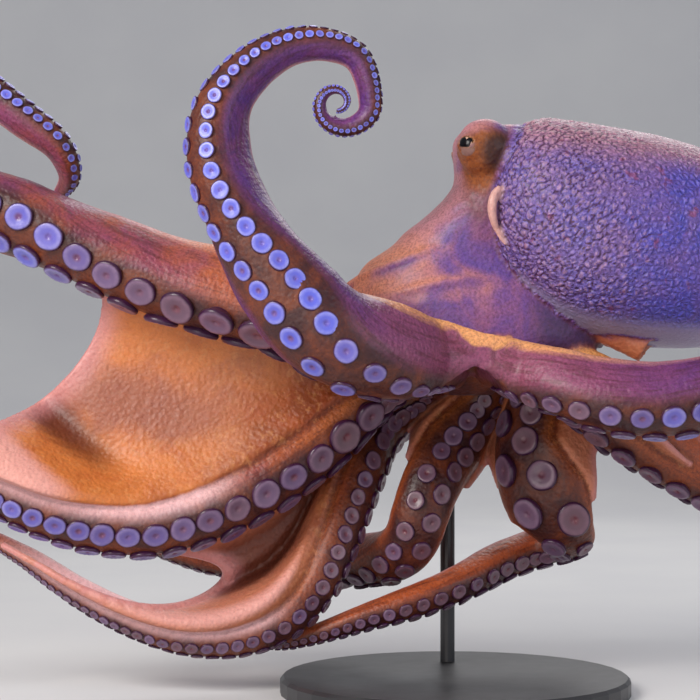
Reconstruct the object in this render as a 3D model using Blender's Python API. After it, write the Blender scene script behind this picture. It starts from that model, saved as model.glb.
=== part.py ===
"""Common octopus (Octopus vulgaris), a life-size swimming model on a display stand.

The tables are in millimetres and MM turns them into metres when a mesh is made.
Frame: +X towards the tip of the mantle, +Y towards the animal's right side, +Z up.
The origin is the centre of the underside of the stand's base.

The arms are numbered as on the animal: L1 to L4 on its left side, from the top of
the head round to the funnel, and R1 to R4 on its right side.
"""
import math

import bmesh
import bpy
import numpy as np

MM = 0.001
GAP = 0.3             # clear space between two solids that touch at a flat cut
CLEAR = 0.8           # and between a curved solid and one that is shaped round it
CUTTER_REACH = 140.0  # how much of an arm, from its base, has other solids shaped round it

# ---------------------------------------------------------------- the crown
CROWN = np.array([8.0, 0.0, 196.0])   # middle of the ring that the arms grow from
CROWN_REACH = 40.0                    # from its axis to the start of each arm
CROWN_SECTIONS = [(178, 14), (186, 25), (197, 37), (213, 37)]   # z and radius
CROWN_SIDES = 16

# ---------------------------------------------------------------- the arms
# bearing: where the arm leaves the crown, in degrees from +X towards +Y.
# dip:     how far it points down as it leaves, in degrees.
# route:   points that the middle of the arm passes through.
# facing:  where the suckers point, at a part of the arm's length from 0 to 1.
# tall:    half of the arm from suckers to back, at a part of its length.
# wide:    half of the arm across as a share of tall, at a part of its length.
# cuts:    parts of the length where one solid ends and the next begins.
ARMS = {
    "L1": {
        "bearing": 202.5, "dip": 0,
        "route": [(-56, -27, 201), (-76, -33, 212), (-102, -36, 226), (-132, -34, 235),
                  (-172, -28, 246), (-213, -22, 263), (-254, -16, 281), (-299, -6, 298),
                  (-343, 6, 321), (-371, 14, 352), (-360, 16, 380), (-327, 14, 386),
                  (-292, 8, 368), (-260, 2, 345), (-238, 4, 327), (-233, 14, 310),
                  (-243, 30, 298)],
        "facing": [(0.0, (0, 0, -1)), (0.12, (0, -0.2, -0.98)), (0.2, (0, -0.35, -0.94)),
                   (0.26, (0, -0.55, -0.84)), (0.34, (0, -0.66, -0.75)),
                   (0.41, (0, -0.94, -0.34)), (0.55, (-0.5, -0.75, -0.3)),
                   (0.66, (-0.7, -0.6, 0.3)), (0.74, (0, -0.7, 0.7)),
                   (0.9, (0.55, -0.5, 0.65)), (1.0, (0.6, -0.3, -0.6))],
        "tall": [(0, 21), (0.1, 27), (0.2, 27), (0.33, 25.5), (0.45, 25.5), (0.6, 18),
                 (0.74, 14), (0.9, 11), (0.96, 8), (1, 3)],
        "wide": [(0, 0.7), (0.34, 0.72), (0.42, 0.84), (0.6, 0.76), (1, 0.7)],
        "cuts": [0.16, 0.36, 0.56, 0.76],
    },
    "R1": {
        "bearing": 157.5, "dip": 25,
        "route": [(-50, 20, 185), (-63, 16, 173), (-78, 11, 158), (-98, 4, 142), (-123, -2, 125),
                  (-153, -6, 110), (-185, -10, 102), (-217, -14, 104), (-246, -18, 112),
                  (-276, -20, 125), (-307, -26, 138), (-341, -34, 139), (-366, -44, 124),
                  (-368, -52, 102), (-350, -56, 90), (-332, -56, 99)],
        "facing": [(0.0, (0, 0, -1)), (0.12, (0.3, -0.5, -0.8)), (0.3, (0.3, -0.65, -0.7)),
                   (0.5, (-0.1, -0.7, -0.7)), (0.7, (-0.1, -0.6, -0.8)),
                   (0.84, (-0.8, -0.4, -0.2)), (0.93, (0, -0.4, 0.9)), (1.0, (0.9, -0.4, 0))],
        "tall": [(0, 21), (0.12, 26), (0.25, 26), (0.45, 22), (0.62, 17), (0.8, 10),
                 (0.92, 5), (1, 1.5)],
        "wide": [(0, 0.7), (1, 0.74)],
        "cuts": [0.18, 0.38, 0.6, 0.8],
    },
    "R2": {
        "bearing": 112.5, "dip": 30,
        "route": [(-14, 54, 187), (-25, 65, 177), (-39, 67, 165), (-51, 60, 151),
                  (-57, 47, 136), (-65, 35, 114), (-74, 24, 89), (-87, 14, 61),
                  (-106, 6, 42), (-132, 0, 33), (-162, -6, 34), (-194, -8, 44),
                  (-227, -6, 61), (-261, 2, 82), (-293, 12, 96), (-322, 20, 99)],
        "facing": [(0.0, (0, 0, -1)), (0.12, (0.5, -0.7, -0.5)), (0.3, (0.65, -0.7, -0.2)),
                   (0.5, (0.6, -0.6, -0.5)), (0.62, (0.1, -0.45, -0.9)),
                   (0.8, (-0.3, -0.3, -0.9)), (1.0, (0, -0.2, -0.9))],
        "tall": [(0, 16), (0.14, 22), (0.35, 18), (0.55, 13), (0.8, 8), (1, 1.5)],
        "wide": [(0, 0.7), (1, 0.8)],
        "cuts": [0.2, 0.42, 0.6, 0.8],
    },
    "R3": {
        "bearing": 67.5, "dip": 50,
        "route": [(22, 46, 181), (15, 49, 169), (6, 46, 155), (-4, 39, 139), (-13, 29, 123),
                  (-20, 25, 105), (-26, 31, 88), (-38, 46, 76), (-55, 66, 71), (-80, 83, 68),
                  (-112, 95, 67), (-156, 97, 71), (-192, 98, 82), (-224, 104, 102),
                  (-242, 112, 126), (-238, 118, 146)],
        "facing": [(0.0, (0, 0, -1)), (0.1, (0, -0.8, -0.6)), (0.2, (0, -1, -0.1)),
                   (0.34, (0, -1, -0.2)), (0.42, (0, -0.3, -0.95)), (0.6, (0, 0.1, -1)),
                   (0.85, (-0.4, 0, -0.9)), (1.0, (-0.9, 0, 0))],
        "tall": [(0, 14), (0.14, 18), (0.26, 16), (0.4, 16), (0.52, 17), (0.64, 12),
                 (0.8, 7), (1, 1.5)],
        "wide": [(0, 0.7), (0.08, 0.9), (0.14, 1.05), (0.4, 1.0), (1, 0.9)],
        "cuts": [0.22, 0.36, 0.5, 0.75],
    },
    "R4": {
        "bearing": 22.5, "dip": 50,
        "route": [(53, 21, 178), (49, 22, 164), (46, 20, 148), (50, 14, 128), (59, 10, 111),
                  (67, 15, 97), (73, 30, 89), (70, 47, 85), (54, 56, 80), (32, 48, 73),
                  (6, 29, 62), (-22, 18, 52), (-52, 14, 43), (-82, 14, 33), (-109, 20, 26),
                  (-134, 30, 28)],
        "facing": [(0.0, (0, 0, -1)), (0.08, (-0.7, -0.6, -0.4)), (0.14, (-0.78, -0.62, 0)),
                   (0.22, (-0.5, -0.86, 0)), (0.3, (-0.2, -0.95, -0.2)),
                   (0.38, (0.2, -0.4, -0.85)),
                   (0.5, (0.2, -0.7, -0.7)), (0.8, (0.25, -0.75, -0.65)),
                   (1.0, (-0.2, -0.5, -0.8))],
        "tall": [(0, 16), (0.14, 19), (0.24, 16), (0.32, 13), (0.55, 12), (0.7, 10),
                 (0.9, 5), (1, 1.5)],
        "wide": [(0, 0.7), (0.06, 0.9), (0.15, 1.3), (0.24, 1.65), (0.3, 1.2), (0.36, 0.9),
                 (1, 0.9)],
        "cuts": [0.18, 0.34, 0.46, 0.66, 0.84],
    },
    "L4": {
        "bearing": 337.5, "dip": 20,
        "route": [(64, -22, 187), (79, -21, 178), (96, -17, 165), (121, -10, 147), (150, -4, 129),
                  (183, 0, 108), (219, 2, 95), (254, 10, 94), (280, 22, 108), (291, 36, 129),
                  (283, 46, 146), (266, 52, 145)],
        "facing": [(0.0, (0, 0, -1)), (0.15, (-0.5, 0, -0.85)), (0.5, (-0.45, -0.1, -0.85)),
                   (0.75, (0.6, -0.35, -0.6)), (0.9, (0.7, -0.3, 0.6)), (1.0, (-0.3, -0.3, 0.9))],
        "tall": [(0, 20), (0.15, 24), (0.4, 20), (0.65, 13), (0.85, 7), (1, 1.5)],
        "wide": [(0, 0.7), (1, 0.8)],
        "cuts": [0.2, 0.4, 0.6, 0.8],
    },
    "L3": {
        "bearing": 292.5, "dip": 5,
        "route": [(29, -55, 194), (36, -69, 191), (53, -83, 186), (78, -91, 179), (107, -93, 176),
                  (137, -92, 180), (168, -93, 192), (203, -97, 202), (237, -103, 199),
                  (262, -110, 182), (266, -115, 158), (248, -118, 144), (231, -119, 152),
                  (232, -119, 167)],
        "facing": [(0.0, (0, 0, -1)), (0.12, (0.1, -0.4, -0.9)), (0.4, (0.1, -0.7, -0.7)),
                   (0.6, (0, -0.6, -0.8)), (0.75, (0.7, -0.4, -0.5)), (0.85, (0.7, -0.4, 0.6)),
                   (0.93, (-0.2, -0.4, -0.9)), (1.0, (-0.9, -0.4, 0))],
        "tall": [(0, 15), (0.1, 17), (0.25, 22), (0.4, 23), (0.6, 16), (0.8, 8), (1, 1.5)],
        "wide": [(0, 0.7), (1, 0.74)],
        "cuts": [0.18, 0.38, 0.58, 0.78],
    },
    "L2": {
        "bearing": 247.5, "dip": 0,
        "route": [(-16, -66, 199), (-32, -86, 201), (-51, -97, 205), (-71, -102, 213),
                  (-90, -104, 229), (-109, -104, 253), (-125, -102, 281), (-136, -98, 310),
                  (-135, -93, 338), (-121, -89, 360), (-98, -85, 375), (-75, -82, 377),
                  (-58, -80, 369)],
        "coil": {"centre": (-70, -77, 345), "start": -15, "turns": 1.37, "outer": 21.5,
                 "inner": 5.2},
        "facing": [(0.0, (0, 0, -1)), (0.12, (0, -0.2, -0.98)), (0.17, (-0.1, -0.55, -0.83)),
                   (0.22, (-0.15, -0.82, -0.55)), (0.28, (-0.1, -1, 0)),
                   (0.35, (-0.15, -1, 0)), (0.41, (-0.6, -0.8, 0)),
                   (0.47, (-0.7, -0.7, 0.1)),
                   (0.56, (-0.6, -0.65, 0.4)), (0.65, (-0.1, -0.6, 0.8)),
                   (0.72, (0.5, -0.5, 0.6))],
        "tall": [(0, 15), (0.07, 20), (0.13, 27), (0.2, 30), (0.33, 24), (0.52, 19),
                 (0.6, 14), (0.66, 11.5), (0.74, 8.5), (0.84, 6.4), (0.9, 5), (0.95, 3.5),
                 (1, 1.8)],
        "wide": [(0, 0.7), (0.16, 0.75), (0.22, 0.86), (0.28, 0.98), (0.34, 0.94),
                 (0.42, 0.76), (1, 0.74)],
        "cuts": [0.16, 0.3, 0.45, 0.62, 0.78],
    },
}

# One side of an arm's section, from the tops of the suckers to the back, as shares of
# wide and tall.
HALF_SECTION = [(0.52, 1.075), (1.0, 0.38), (0.98, -0.35), (0.45, -1.0)]
RING_STEP = 20.0      # along an arm, the most from one ring of its mesh to the next
SHORTEST_STEP = 3.5   # and the least
RING_TURN = 0.42      # in a bend, how far the arm turns from ring to ring, in radians
STEP = 2.0            # along an arm, from one sample of its path to the next
KNOT_SPANS = [[(0, 1), (1, 2), (2, 3)], [(0, 2), (1, 3)], [(1, 2)]]


def smooth_path(points, samples=16):
    """A centripetal Catmull-Rom curve through the points."""
    points = np.asarray(points, float)
    points = np.vstack([2 * points[0] - points[1], points, 2 * points[-1] - points[-2]])
    curve = []
    for i in range(1, len(points) - 2):
        level = list(points[i - 1:i + 3])
        lengths = [np.linalg.norm(level[k + 1] - level[k]) ** 0.5 for k in range(3)]
        knots = np.cumsum([0.0] + lengths)
        t = np.linspace(knots[1], knots[2], samples, endpoint=False)[:, None]
        for spans in KNOT_SPANS:
            level = [((knots[b] - t) * level[k] + (t - knots[a]) * level[k + 1])
                     / (knots[b] - knots[a]) for k, (a, b) in enumerate(spans)]
        curve.append(level[0])
    curve.append(points[-2:-1])
    return np.vstack(curve)


def unit(vectors):
    """Vectors scaled to length 1."""
    return vectors / np.linalg.norm(vectors, axis=-1, keepdims=True)


def coil_points(centre, start, turns, outer, inner):
    """Points along a coil in the XZ plane that tightens towards its middle, clockwise."""
    points = []
    count = int(turns * 12)
    for i in range(1, count + 1):
        part = i / count
        angle = math.radians(start + 360 * turns * part)
        radius = inner + (outer - inner) * (1 - part) ** 2.4
        points.append((centre[0] + radius * math.cos(angle), centre[1],
                       centre[2] - radius * math.sin(angle)))
    return points


class Arm:
    """The path of an arm, with its facing and its size at any distance along it."""

    def __init__(self, spec):
        bearing, dip = math.radians(spec["bearing"]), math.radians(spec["dip"])
        outward = np.array([math.cos(bearing) * math.cos(dip),
                            math.sin(bearing) * math.cos(dip), -math.sin(dip)])
        root = CROWN + CROWN_REACH * np.array([math.cos(bearing), math.sin(bearing), 0.0])
        route = [root, root + 8 * outward] + list(spec["route"])
        coil = spec.get("coil")
        if coil:
            route += coil_points(**coil)
        curve = smooth_path(route)
        along = np.r_[0, np.cumsum(np.linalg.norm(np.diff(curve, axis=0), axis=1))]
        self.length = along[-1]
        self.s = np.linspace(0, self.length, int(self.length / STEP) + 1)
        self.point = self.sample(self.s, along, curve)
        tangent = unit(np.gradient(self.point, axis=0))
        tangent[0] = outward
        self.tangent = tangent
        self.bend = np.linalg.norm(np.gradient(tangent, axis=0), axis=1) / STEP
        parts, directions = zip(*spec["facing"])
        facing = self.sample(self.s / self.length, parts, unit(np.array(directions, float)))
        if coil:
            last = parts[-1] * self.length
            middle = np.array(coil["centre"], float)
            outwards = unit(self.point - middle + np.array([0, -0.4, 0]) * coil["outer"])
            share = np.clip((self.s - last) / 20, 0, 1)[:, None]
            facing = facing * (1 - share) + outwards * share
        facing = self.soften(facing, 20)
        facing -= (facing * tangent).sum(1)[:, None] * tangent
        self.facing = unit(facing)
        self.side = np.cross(tangent, self.facing)
        parts, sizes = zip(*spec["tall"])
        tall = np.interp(self.s / self.length, parts, sizes)
        self.tall = self.soften(tall[:, None], 16)[:, 0]
        parts, shares = zip(*spec["wide"])
        self.wide = self.tall * np.interp(self.s / self.length, parts, shares)

    @staticmethod
    def sample(at, knots, values):
        """Values between knots, one column at a time."""
        values = np.asarray(values, float)
        return np.stack([np.interp(at, knots, column) for column in values.T], 1)

    @staticmethod
    def soften(values, distance):
        """A running mean over a distance to each side."""
        reach = max(1, int(distance / STEP))
        padded = np.pad(values, ((reach, reach), (0, 0)), mode="edge")
        window = np.ones(2 * reach + 1) / (2 * reach + 1)
        return np.stack([np.convolve(column, window, "valid") for column in padded.T], 1)

    def at(self, distance):
        """Middle, facing, side, tall and wide at a distance along the arm."""
        middle, facing, side = (self.sample([distance], self.s, v)[0]
                                for v in (self.point, self.facing, self.side))
        return (middle, facing, side, np.interp(distance, self.s, self.tall),
                np.interp(distance, self.s, self.wide))

    def ring(self, distance, extra=0.0):
        """The points of the arm's section at a distance along it."""
        middle, facing, side, tall, wide = self.at(distance)
        outline = HALF_SECTION + [(-w, t) for w, t in reversed(HALF_SECTION)]
        return [middle + side * w * (wide + extra) + facing * t * (tall + extra)
                for w, t in outline]

    def edge(self, distance, hand, clearance=0.0):
        """The widest place of the section on one side, or a place that far beside it."""
        middle, facing, side, tall, wide = self.at(distance)
        return middle + hand * side * (wide + clearance)

    def flank(self, distance, hand, clearance):
        """The corners of one side of the section, at a clearance from them."""
        middle, facing, side, tall, wide = self.at(distance)
        return [middle + hand * side * (w * wide + clearance) + facing * t * tall
                for w, t in HALF_SECTION]


def new_object(name, verts, faces, material):
    """A mesh object from points in millimetres."""
    mesh = bpy.data.meshes.new(name)
    mesh.from_pydata([tuple(float(c) * MM for c in v) for v in verts], [], faces)
    mesh.update()
    mesh.materials.append(material)
    shape = bpy.data.objects.new(name, mesh)
    bpy.context.scene.collection.objects.link(shape)
    return shape


def loft(name, rings, material):
    """A closed solid through rings of equal numbers of points, with fans at its ends."""
    count = len(rings[0])
    verts = [p for ring in rings for p in ring]
    faces = []
    for i in range(len(rings) - 1):
        for k in range(count):
            m = (k + 1) % count
            faces.append((i * count + k, i * count + m, (i + 1) * count + m,
                          (i + 1) * count + k))
    first, last = len(verts), len(verts) + 1
    verts.append(np.mean(rings[0], axis=0))
    verts.append(np.mean(rings[-1], axis=0))
    top = (len(rings) - 1) * count
    for k in range(count):
        m = (k + 1) % count
        faces.append((first, m, k))
        faces.append((last, top + k, top + m))
    shape = new_object(name, verts, faces, material)
    outward_faces(shape)
    return shape


def outward_faces(shape):
    """Turns the faces of a closed mesh outwards."""
    mesh = bmesh.new()
    mesh.from_mesh(shape.data)
    bmesh.ops.recalc_face_normals(mesh, faces=mesh.faces)
    if mesh.calc_volume(signed=True) < 0:
        bmesh.ops.reverse_faces(mesh, faces=mesh.faces)
    mesh.to_mesh(shape.data)
    mesh.free()


def ring_distances(arm, start, end):
    """Where the rings of one length of an arm are: closer as the arm gets thinner."""
    places = [start]
    while True:
        tall = np.interp(places[-1], arm.s, arm.tall)
        bend = np.interp(places[-1] + 4, arm.s, arm.bend)
        step = min(RING_STEP, max(SHORTEST_STEP, min(1.6 * tall, RING_TURN / (bend + 1e-6))))
        if places[-1] + 1.4 * step > end:
            break
        places.append(places[-1] + step)
    places.append(end)
    return places


def make_arm(name, arm, cuts, material):
    """The solids of one arm, from its base to its tip."""
    ends = [0.0] + [c * arm.length for c in cuts] + [arm.length - 0.5]
    arm.rings = []
    for i in range(len(ends) - 1):
        start = ends[i] + (GAP / 2 if i else 0.0)
        end = ends[i + 1] - (GAP / 2 if i < len(ends) - 2 else 0.0)
        places = ring_distances(arm, start, end)
        arm.rings += places if i == len(ends) - 2 else places[:-1]
        rings = [arm.ring(d) for d in places]
        loft(f"arm_{name}_{i + 1}", rings, material)


# ---------------------------------------------------------------- the webs
# Between each arm and the next one round the crown: how far the web reaches along each
# of the two, how far its free edge is drawn in (0 to 1), and how its middle billows.
WEBS = {
    ("L1", "L2"): {"reach": (75, 60), "drawn": 0.25, "billow": (0, 0, 6)},
    ("L3", "L4"): {"reach": (120, 110), "drawn": 0.3, "billow": (0, 0, 10), "cut": ("L3",)},
    ("L4", "R4"): {"reach": (85, 100), "drawn": 0.2, "billow": (4, 8, 0), "cut": ("R4",)},
    ("R4", "R3"): {"reach": (75, 75), "drawn": 0.25, "billow": (0, 8, 0), "cut": ("R4", "R3")},
    ("R3", "R2"): {"reach": (85, 100), "drawn": 0.3, "billow": (0, 10, 0), "cut": ("R3", "R2")},
    ("R2", "R1"): {"reach": (385, 110), "drawn": 0.28, "billow": (-8, 16, -4)},
    ("R1", "L1"): {"reach": (300, 200), "drawn": 0.12, "billow": (0, 28, 10)},
}
WEB_GAP = 1.0         # between a web's edge and the arm
WEB_STUB = 4.0        # a web leaves an arm square to it for this far
WEB_THICK = 3.0
WEB_COLUMNS = 4       # spans of a web's mesh between its stubs
WEB_START = 9.0       # along an arm, from the crown to the web's first row
BRIDGE_ROWS = (14, 21, 28, 35)   # sections of the flesh between L2 and L3, from the crown


def web_surface(arms, pair, spec):
    """The middle surface of a web, as points and faces, with the rows of its edges on
    the rings of the two arms."""
    sides = []
    for name, hand, reach in zip(pair, (1, -1), spec["reach"]):
        rings = [d for d in arms[name].rings if WEB_START < d <= reach]
        sides.append((arms[name], hand, [WEB_START] + rings))
    verts, outer = [], []
    for arm, hand, places in sides:
        line = list(range(len(verts), len(verts) + len(places)))
        verts += [arm.edge(d, hand, WEB_GAP) for d in places]
        outer.append((line, [(d - places[0]) / (places[-1] - places[0]) for d in places]))
    rows = max(len(places) for _, _, places in sides)
    shares = [row / (rows - 1) for row in range(rows)]
    inner = []
    for column in range(WEB_COLUMNS + 1):
        u = column / WEB_COLUMNS
        swell = 4 * u * (1 - u)
        line = []
        for v in shares:
            pulled = v * (1 - spec["drawn"] * swell)
            left, right = (arm.edge(places[0] + pulled * (places[-1] - places[0]), hand,
                                    WEB_GAP + WEB_STUB) for arm, hand, places in sides)
            line.append(len(verts))
            verts.append(left * (1 - u) + right * u
                         + np.array(spec["billow"], float) * swell * v)
        inner.append((line, shares))
    columns = [outer[0]] + inner + [outer[1]]
    faces = []
    for left, right in zip(columns, columns[1:]):
        faces += zip_columns(left, right)
    return verts, faces


def zip_columns(left, right):
    """Faces between two lines of points with their own shares from 0 to 1."""
    (a, share_a), (b, share_b) = left, right
    if len(a) == len(b):
        return [(a[i], a[i + 1], b[i + 1], b[i]) for i in range(len(a) - 1)]
    faces = []
    i = j = 0
    while i < len(a) - 1 or j < len(b) - 1:
        next_a = share_a[i + 1] if i < len(a) - 1 else 2.0
        next_b = share_b[j + 1] if j < len(b) - 1 else 2.0
        if next_a <= next_b:
            faces.append((a[i], a[i + 1], b[j]))
            i += 1
        else:
            faces.append((a[i], b[j + 1], b[j]))
            j += 1
    return faces


def make_web(arms, cutters, pair, spec, material):
    """A sheet between two arms."""
    verts, faces = web_surface(arms, pair, spec)
    web = new_object(f"web_{pair[0]}_{pair[1]}", verts, faces, material)
    outer = web.modifiers.new("thickness", "SOLIDIFY")
    outer.thickness = WEB_THICK * MM
    outer.offset = 0.0
    for name in spec.get("cut", ()):
        cut(web, cutters[name])


def make_bridge(arms, material):
    """The thick flesh between the bases of L2 and L3, which meet as one band."""
    rings = []
    for distance in BRIDGE_ROWS:
        left = arms["L2"].flank(distance, 1, 2 * CLEAR)
        right = arms["L3"].flank(distance, -1, 2 * CLEAR)
        rings.append(left + right[::-1])
    loft("web_L2_L3", rings, material)


# ---------------------------------------------------------------- the mantle
# Sections across the mantle: x, top z, bottom z and half of its width.
MANTLE_SECTIONS = [(21, 300, 274, 28), (26, 318, 256, 41), (36, 336, 239, 50),
                   (52, 342, 224, 57), (74, 340, 213, 61), (100, 336, 208, 63),
                   (126, 331, 206, 61), (150, 323, 207, 56), (174, 310, 212, 47),
                   (194, 294, 224, 34), (206, 279, 240, 20)]
MANTLE_SHIFT = -5.0   # the mantle's middle lies this far towards -Y
MANTLE_SIDES = 18
MANTLE_SQUARE = 2.3   # the power of its oval sections: 2 is an ellipse

# ---------------------------------------------------------------- the head
# Level sections of the head and of its skirt over the arms:
# z, smallest x, largest x and half of its width.
HEAD_SECTIONS = [(214, -54, 90, 44), (232, -62, 88, 42),
                 (246, -60, 84, 37), (257, -53, 80, 34), (266, -39, 76, 33),
                 (276, -29, 73, 33), (285, -18, 70, 33), (295, -7, 66, 33), (305, -1, 62, 34),
                 (316, -1, 56, 36), (329, -1, 50, 35), (337, 5, 44, 28)]
HEAD_SIDES = 18
HEAD_SQUARE = 2.2     # the power of its oval sections


def superellipse(count, power):
    """Points round a rounded oval of half sizes 1, as (across, up) pairs."""
    points = []
    for k in range(count):
        angle = 2 * math.pi * k / count
        c, s = math.cos(angle), math.sin(angle)
        points.append((math.copysign(abs(c) ** (2 / power), c),
                       math.copysign(abs(s) ** (2 / power), s)))
    return points


def mantle_rings(extra=0.0):
    """Its sections, or those of a body larger all round by extra."""
    oval = superellipse(MANTLE_SIDES, MANTLE_SQUARE)
    middle = (MANTLE_SECTIONS[0][0] + MANTLE_SECTIONS[-1][0]) / 2
    reach = MANTLE_SECTIONS[-1][0] - middle
    return [[(x + extra * (x - middle) / reach, MANTLE_SHIFT + across * (half + extra),
              (top + bottom) / 2 + up * ((top - bottom) / 2 + extra))
             for across, up in oval] for x, top, bottom, half in MANTLE_SECTIONS]


def head_rings():
    """Level sections of the head."""
    oval = superellipse(HEAD_SIDES, HEAD_SQUARE)
    return [[((left + right) / 2 + across * (right - left) / 2, up * half, z)
             for across, up in oval] for z, left, right, half in HEAD_SECTIONS]


def ball_rings(centre, sizes, levels, sides):
    """An ellipsoid as rings round Z, for lofting."""
    rings = []
    for i in range(1, levels):
        tilt = math.pi * i / levels
        rings.append([(centre[0] + sizes[0] * math.sin(tilt) * math.cos(turn),
                       centre[1] + sizes[1] * math.sin(tilt) * math.sin(turn),
                       centre[2] - sizes[2] * math.cos(tilt))
                      for turn in (2 * math.pi * k / sides for k in range(sides))])
    return rings


# ---------------------------------------------------------------- the eyes
EYE_BULGE = (16.5, 26, 323.5)      # middle of the bulge round an eye: x, distance from the
EYE_BULGE_SIZE = (17, 15, 17)      # animal's middle plane, z; and its half sizes
EYE = (8.2, 34, 324)               # middle of an eyeball
EYE_RADIUS = 8.0
EYE_LEVELS, EYE_SIDES = 6, 10      # of an eyeball's mesh
BULGE_LEVELS, BULGE_SIDES = 8, 12

# ---------------------------------------------------------------- the funnel
# Its middle, from inside the head to its open end, and its radius there.
FUNNEL = [((62, -8, 230), 13), ((79, -15, 224), 12), ((96, -21, 216), 11),
          ((112, -25, 206), 9)]
FUNNEL_BORE = 6.0                  # depth of the open end
FUNNEL_WALL = 2.5
FUNNEL_SIDES = 14

# ---------------------------------------------------------------- the stand
BASE_RADIUS = 105.0
BASE_TALL = 10.0
BASE_EDGE = 2.0                    # bevel round the top of the base
ROD_RADIUS = 4.5
ROD_PLACE = (-2, 56)               # x and y of the rod
ROD_TOP = 158.0                    # where it ends, in a socket in the base of arm R3
BASE_SIDES = 40
ROD_SIDES = 16


def round_rings(path, sides):
    """Circles of given radius square to a path of (middle, radius) pairs."""
    middles = np.array([p for p, _ in path], float)
    tangents = unit(np.gradient(middles, axis=0))
    rings = []
    for (middle, radius), tangent in zip(path, tangents):
        across = unit(np.cross(tangent, (0, 1, 0)))
        up = np.cross(tangent, across)
        rings.append([middle + radius * (across * math.cos(turn) + up * math.sin(turn))
                      for turn in (2 * math.pi * k / sides for k in range(sides))])
    return rings


def cut(shape, cutter):
    """Takes one solid out of another."""
    cutter.hide_render = True
    cutter.display_type = "WIRE"
    knife = shape.modifiers.new("cut", "BOOLEAN")
    knife.operation = "DIFFERENCE"
    knife.solver = "EXACT"
    knife.object = cutter


def join(shape, other):
    """Adds one solid to another."""
    other.hide_render = True
    other.display_type = "WIRE"
    weld = shape.modifiers.new("join", "BOOLEAN")
    weld.operation = "UNION"
    weld.solver = "EXACT"
    weld.object = other


def arm_cutter(name, arm, material):
    """The base of an arm, larger all round, to cut its place in its neighbours."""
    rings = [arm.ring(d, CLEAR) for d in arm.rings if d < CUTTER_REACH]
    start = np.array(rings[0]) - CLEAR * arm.tangent[0]
    return loft(f"cutter_{name}", [start] + rings, material)


def make_head(cutters, materials):
    """The head, shaped round the crown, the mantle, the eyes and the funnel."""
    flesh = materials["flesh"]
    head = loft("head", head_rings(), flesh)
    for hand, side in ((-1, "left"), (1, "right")):
        x, y, z = EYE_BULGE
        bulge = ball_rings((x, hand * y, z), EYE_BULGE_SIZE, BULGE_LEVELS, BULGE_SIDES)
        join(head, loft(f"bulge_{side}", bulge, flesh))
    for hand, side in ((-1, "left"), (1, "right")):
        middle = (EYE[0], hand * EYE[1], EYE[2])
        socket, ball = (ball_rings(middle, (radius,) * 3, EYE_LEVELS, EYE_SIDES)
                        for radius in (EYE_RADIUS + GAP, EYE_RADIUS))
        cut(head, loft(f"cutter_eye_{side}", socket, flesh))
        loft(f"eye_{side}", ball, materials["eye"])
    for name in ("mantle", "funnel", "L1", "L2", "L3", "L4", "R1"):
        cut(head, cutters[name])


def make_crown(material):
    """The middle of the crown, with the mouth below."""
    rings = round_rings([((CROWN[0], CROWN[1], z), radius) for z, radius in CROWN_SECTIONS],
                        CROWN_SIDES)
    loft("arm_crown", rings, material)


def make_cutters(arms, material):
    """The bodies that clear a gap round the arms, the mantle, the funnel and the crown."""
    cutters = {name: arm_cutter(name, arm, material) for name, arm in arms.items()}
    cutters["mantle"] = loft("cutter_mantle", mantle_rings(CLEAR), material)
    wider = [(middle, radius + GAP) for middle, radius in FUNNEL]
    cutters["funnel"] = loft("cutter_funnel", round_rings(wider, FUNNEL_SIDES), material)
    rod = [(ROD_PLACE + (BASE_TALL,), ROD_RADIUS + GAP),
           (ROD_PLACE + (ROD_TOP + GAP,), ROD_RADIUS + GAP)]
    cutters["rod"] = loft("cutter_rod", round_rings(rod, ROD_SIDES), material)
    return cutters


def make_funnel(material):
    """The funnel, open at its far end."""
    funnel = loft("funnel", round_rings(FUNNEL, FUNNEL_SIDES), material)
    (inner, _), (end, radius) = FUNNEL[-2:]
    way = unit(np.array(end, float) - np.array(inner, float))
    bore = [(np.array(end) - FUNNEL_BORE * way, radius - FUNNEL_WALL),
            (np.array(end) + FUNNEL_BORE * way, radius - FUNNEL_WALL)]
    cut(funnel, loft("cutter_bore", round_rings(bore, FUNNEL_SIDES), material))


def make_stand(material):
    """A round flat base and a rod up to the base of one arm."""
    base = [((0, 0, 0), BASE_RADIUS), ((0, 0, BASE_TALL - BASE_EDGE), BASE_RADIUS),
            ((0, 0, BASE_TALL), BASE_RADIUS - BASE_EDGE)]
    loft("stand_base", round_rings(base, BASE_SIDES), material)
    rod = [(ROD_PLACE + (BASE_TALL + GAP,), ROD_RADIUS), (ROD_PLACE + (ROD_TOP,), ROD_RADIUS)]
    loft("stand_rod", round_rings(rod, ROD_SIDES), material)


def make_materials():
    """One plain material for each kind of surface."""
    looks = {"flesh": ((0.45, 0.22, 0.14), 0.45), "eye": ((0.02, 0.015, 0.01), 0.1),
             "stand": ((0.03, 0.03, 0.035), 0.4)}
    materials = {}
    for name, (colour, roughness) in looks.items():
        material = bpy.data.materials.new(name)
        material.use_nodes = True
        shader = material.node_tree.nodes["Principled BSDF"]
        shader.inputs["Base Color"].default_value = (*colour, 1)
        shader.inputs["Roughness"].default_value = roughness
        shader.inputs["Metallic"].default_value = 0.0
        materials[name] = material
    return materials


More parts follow.
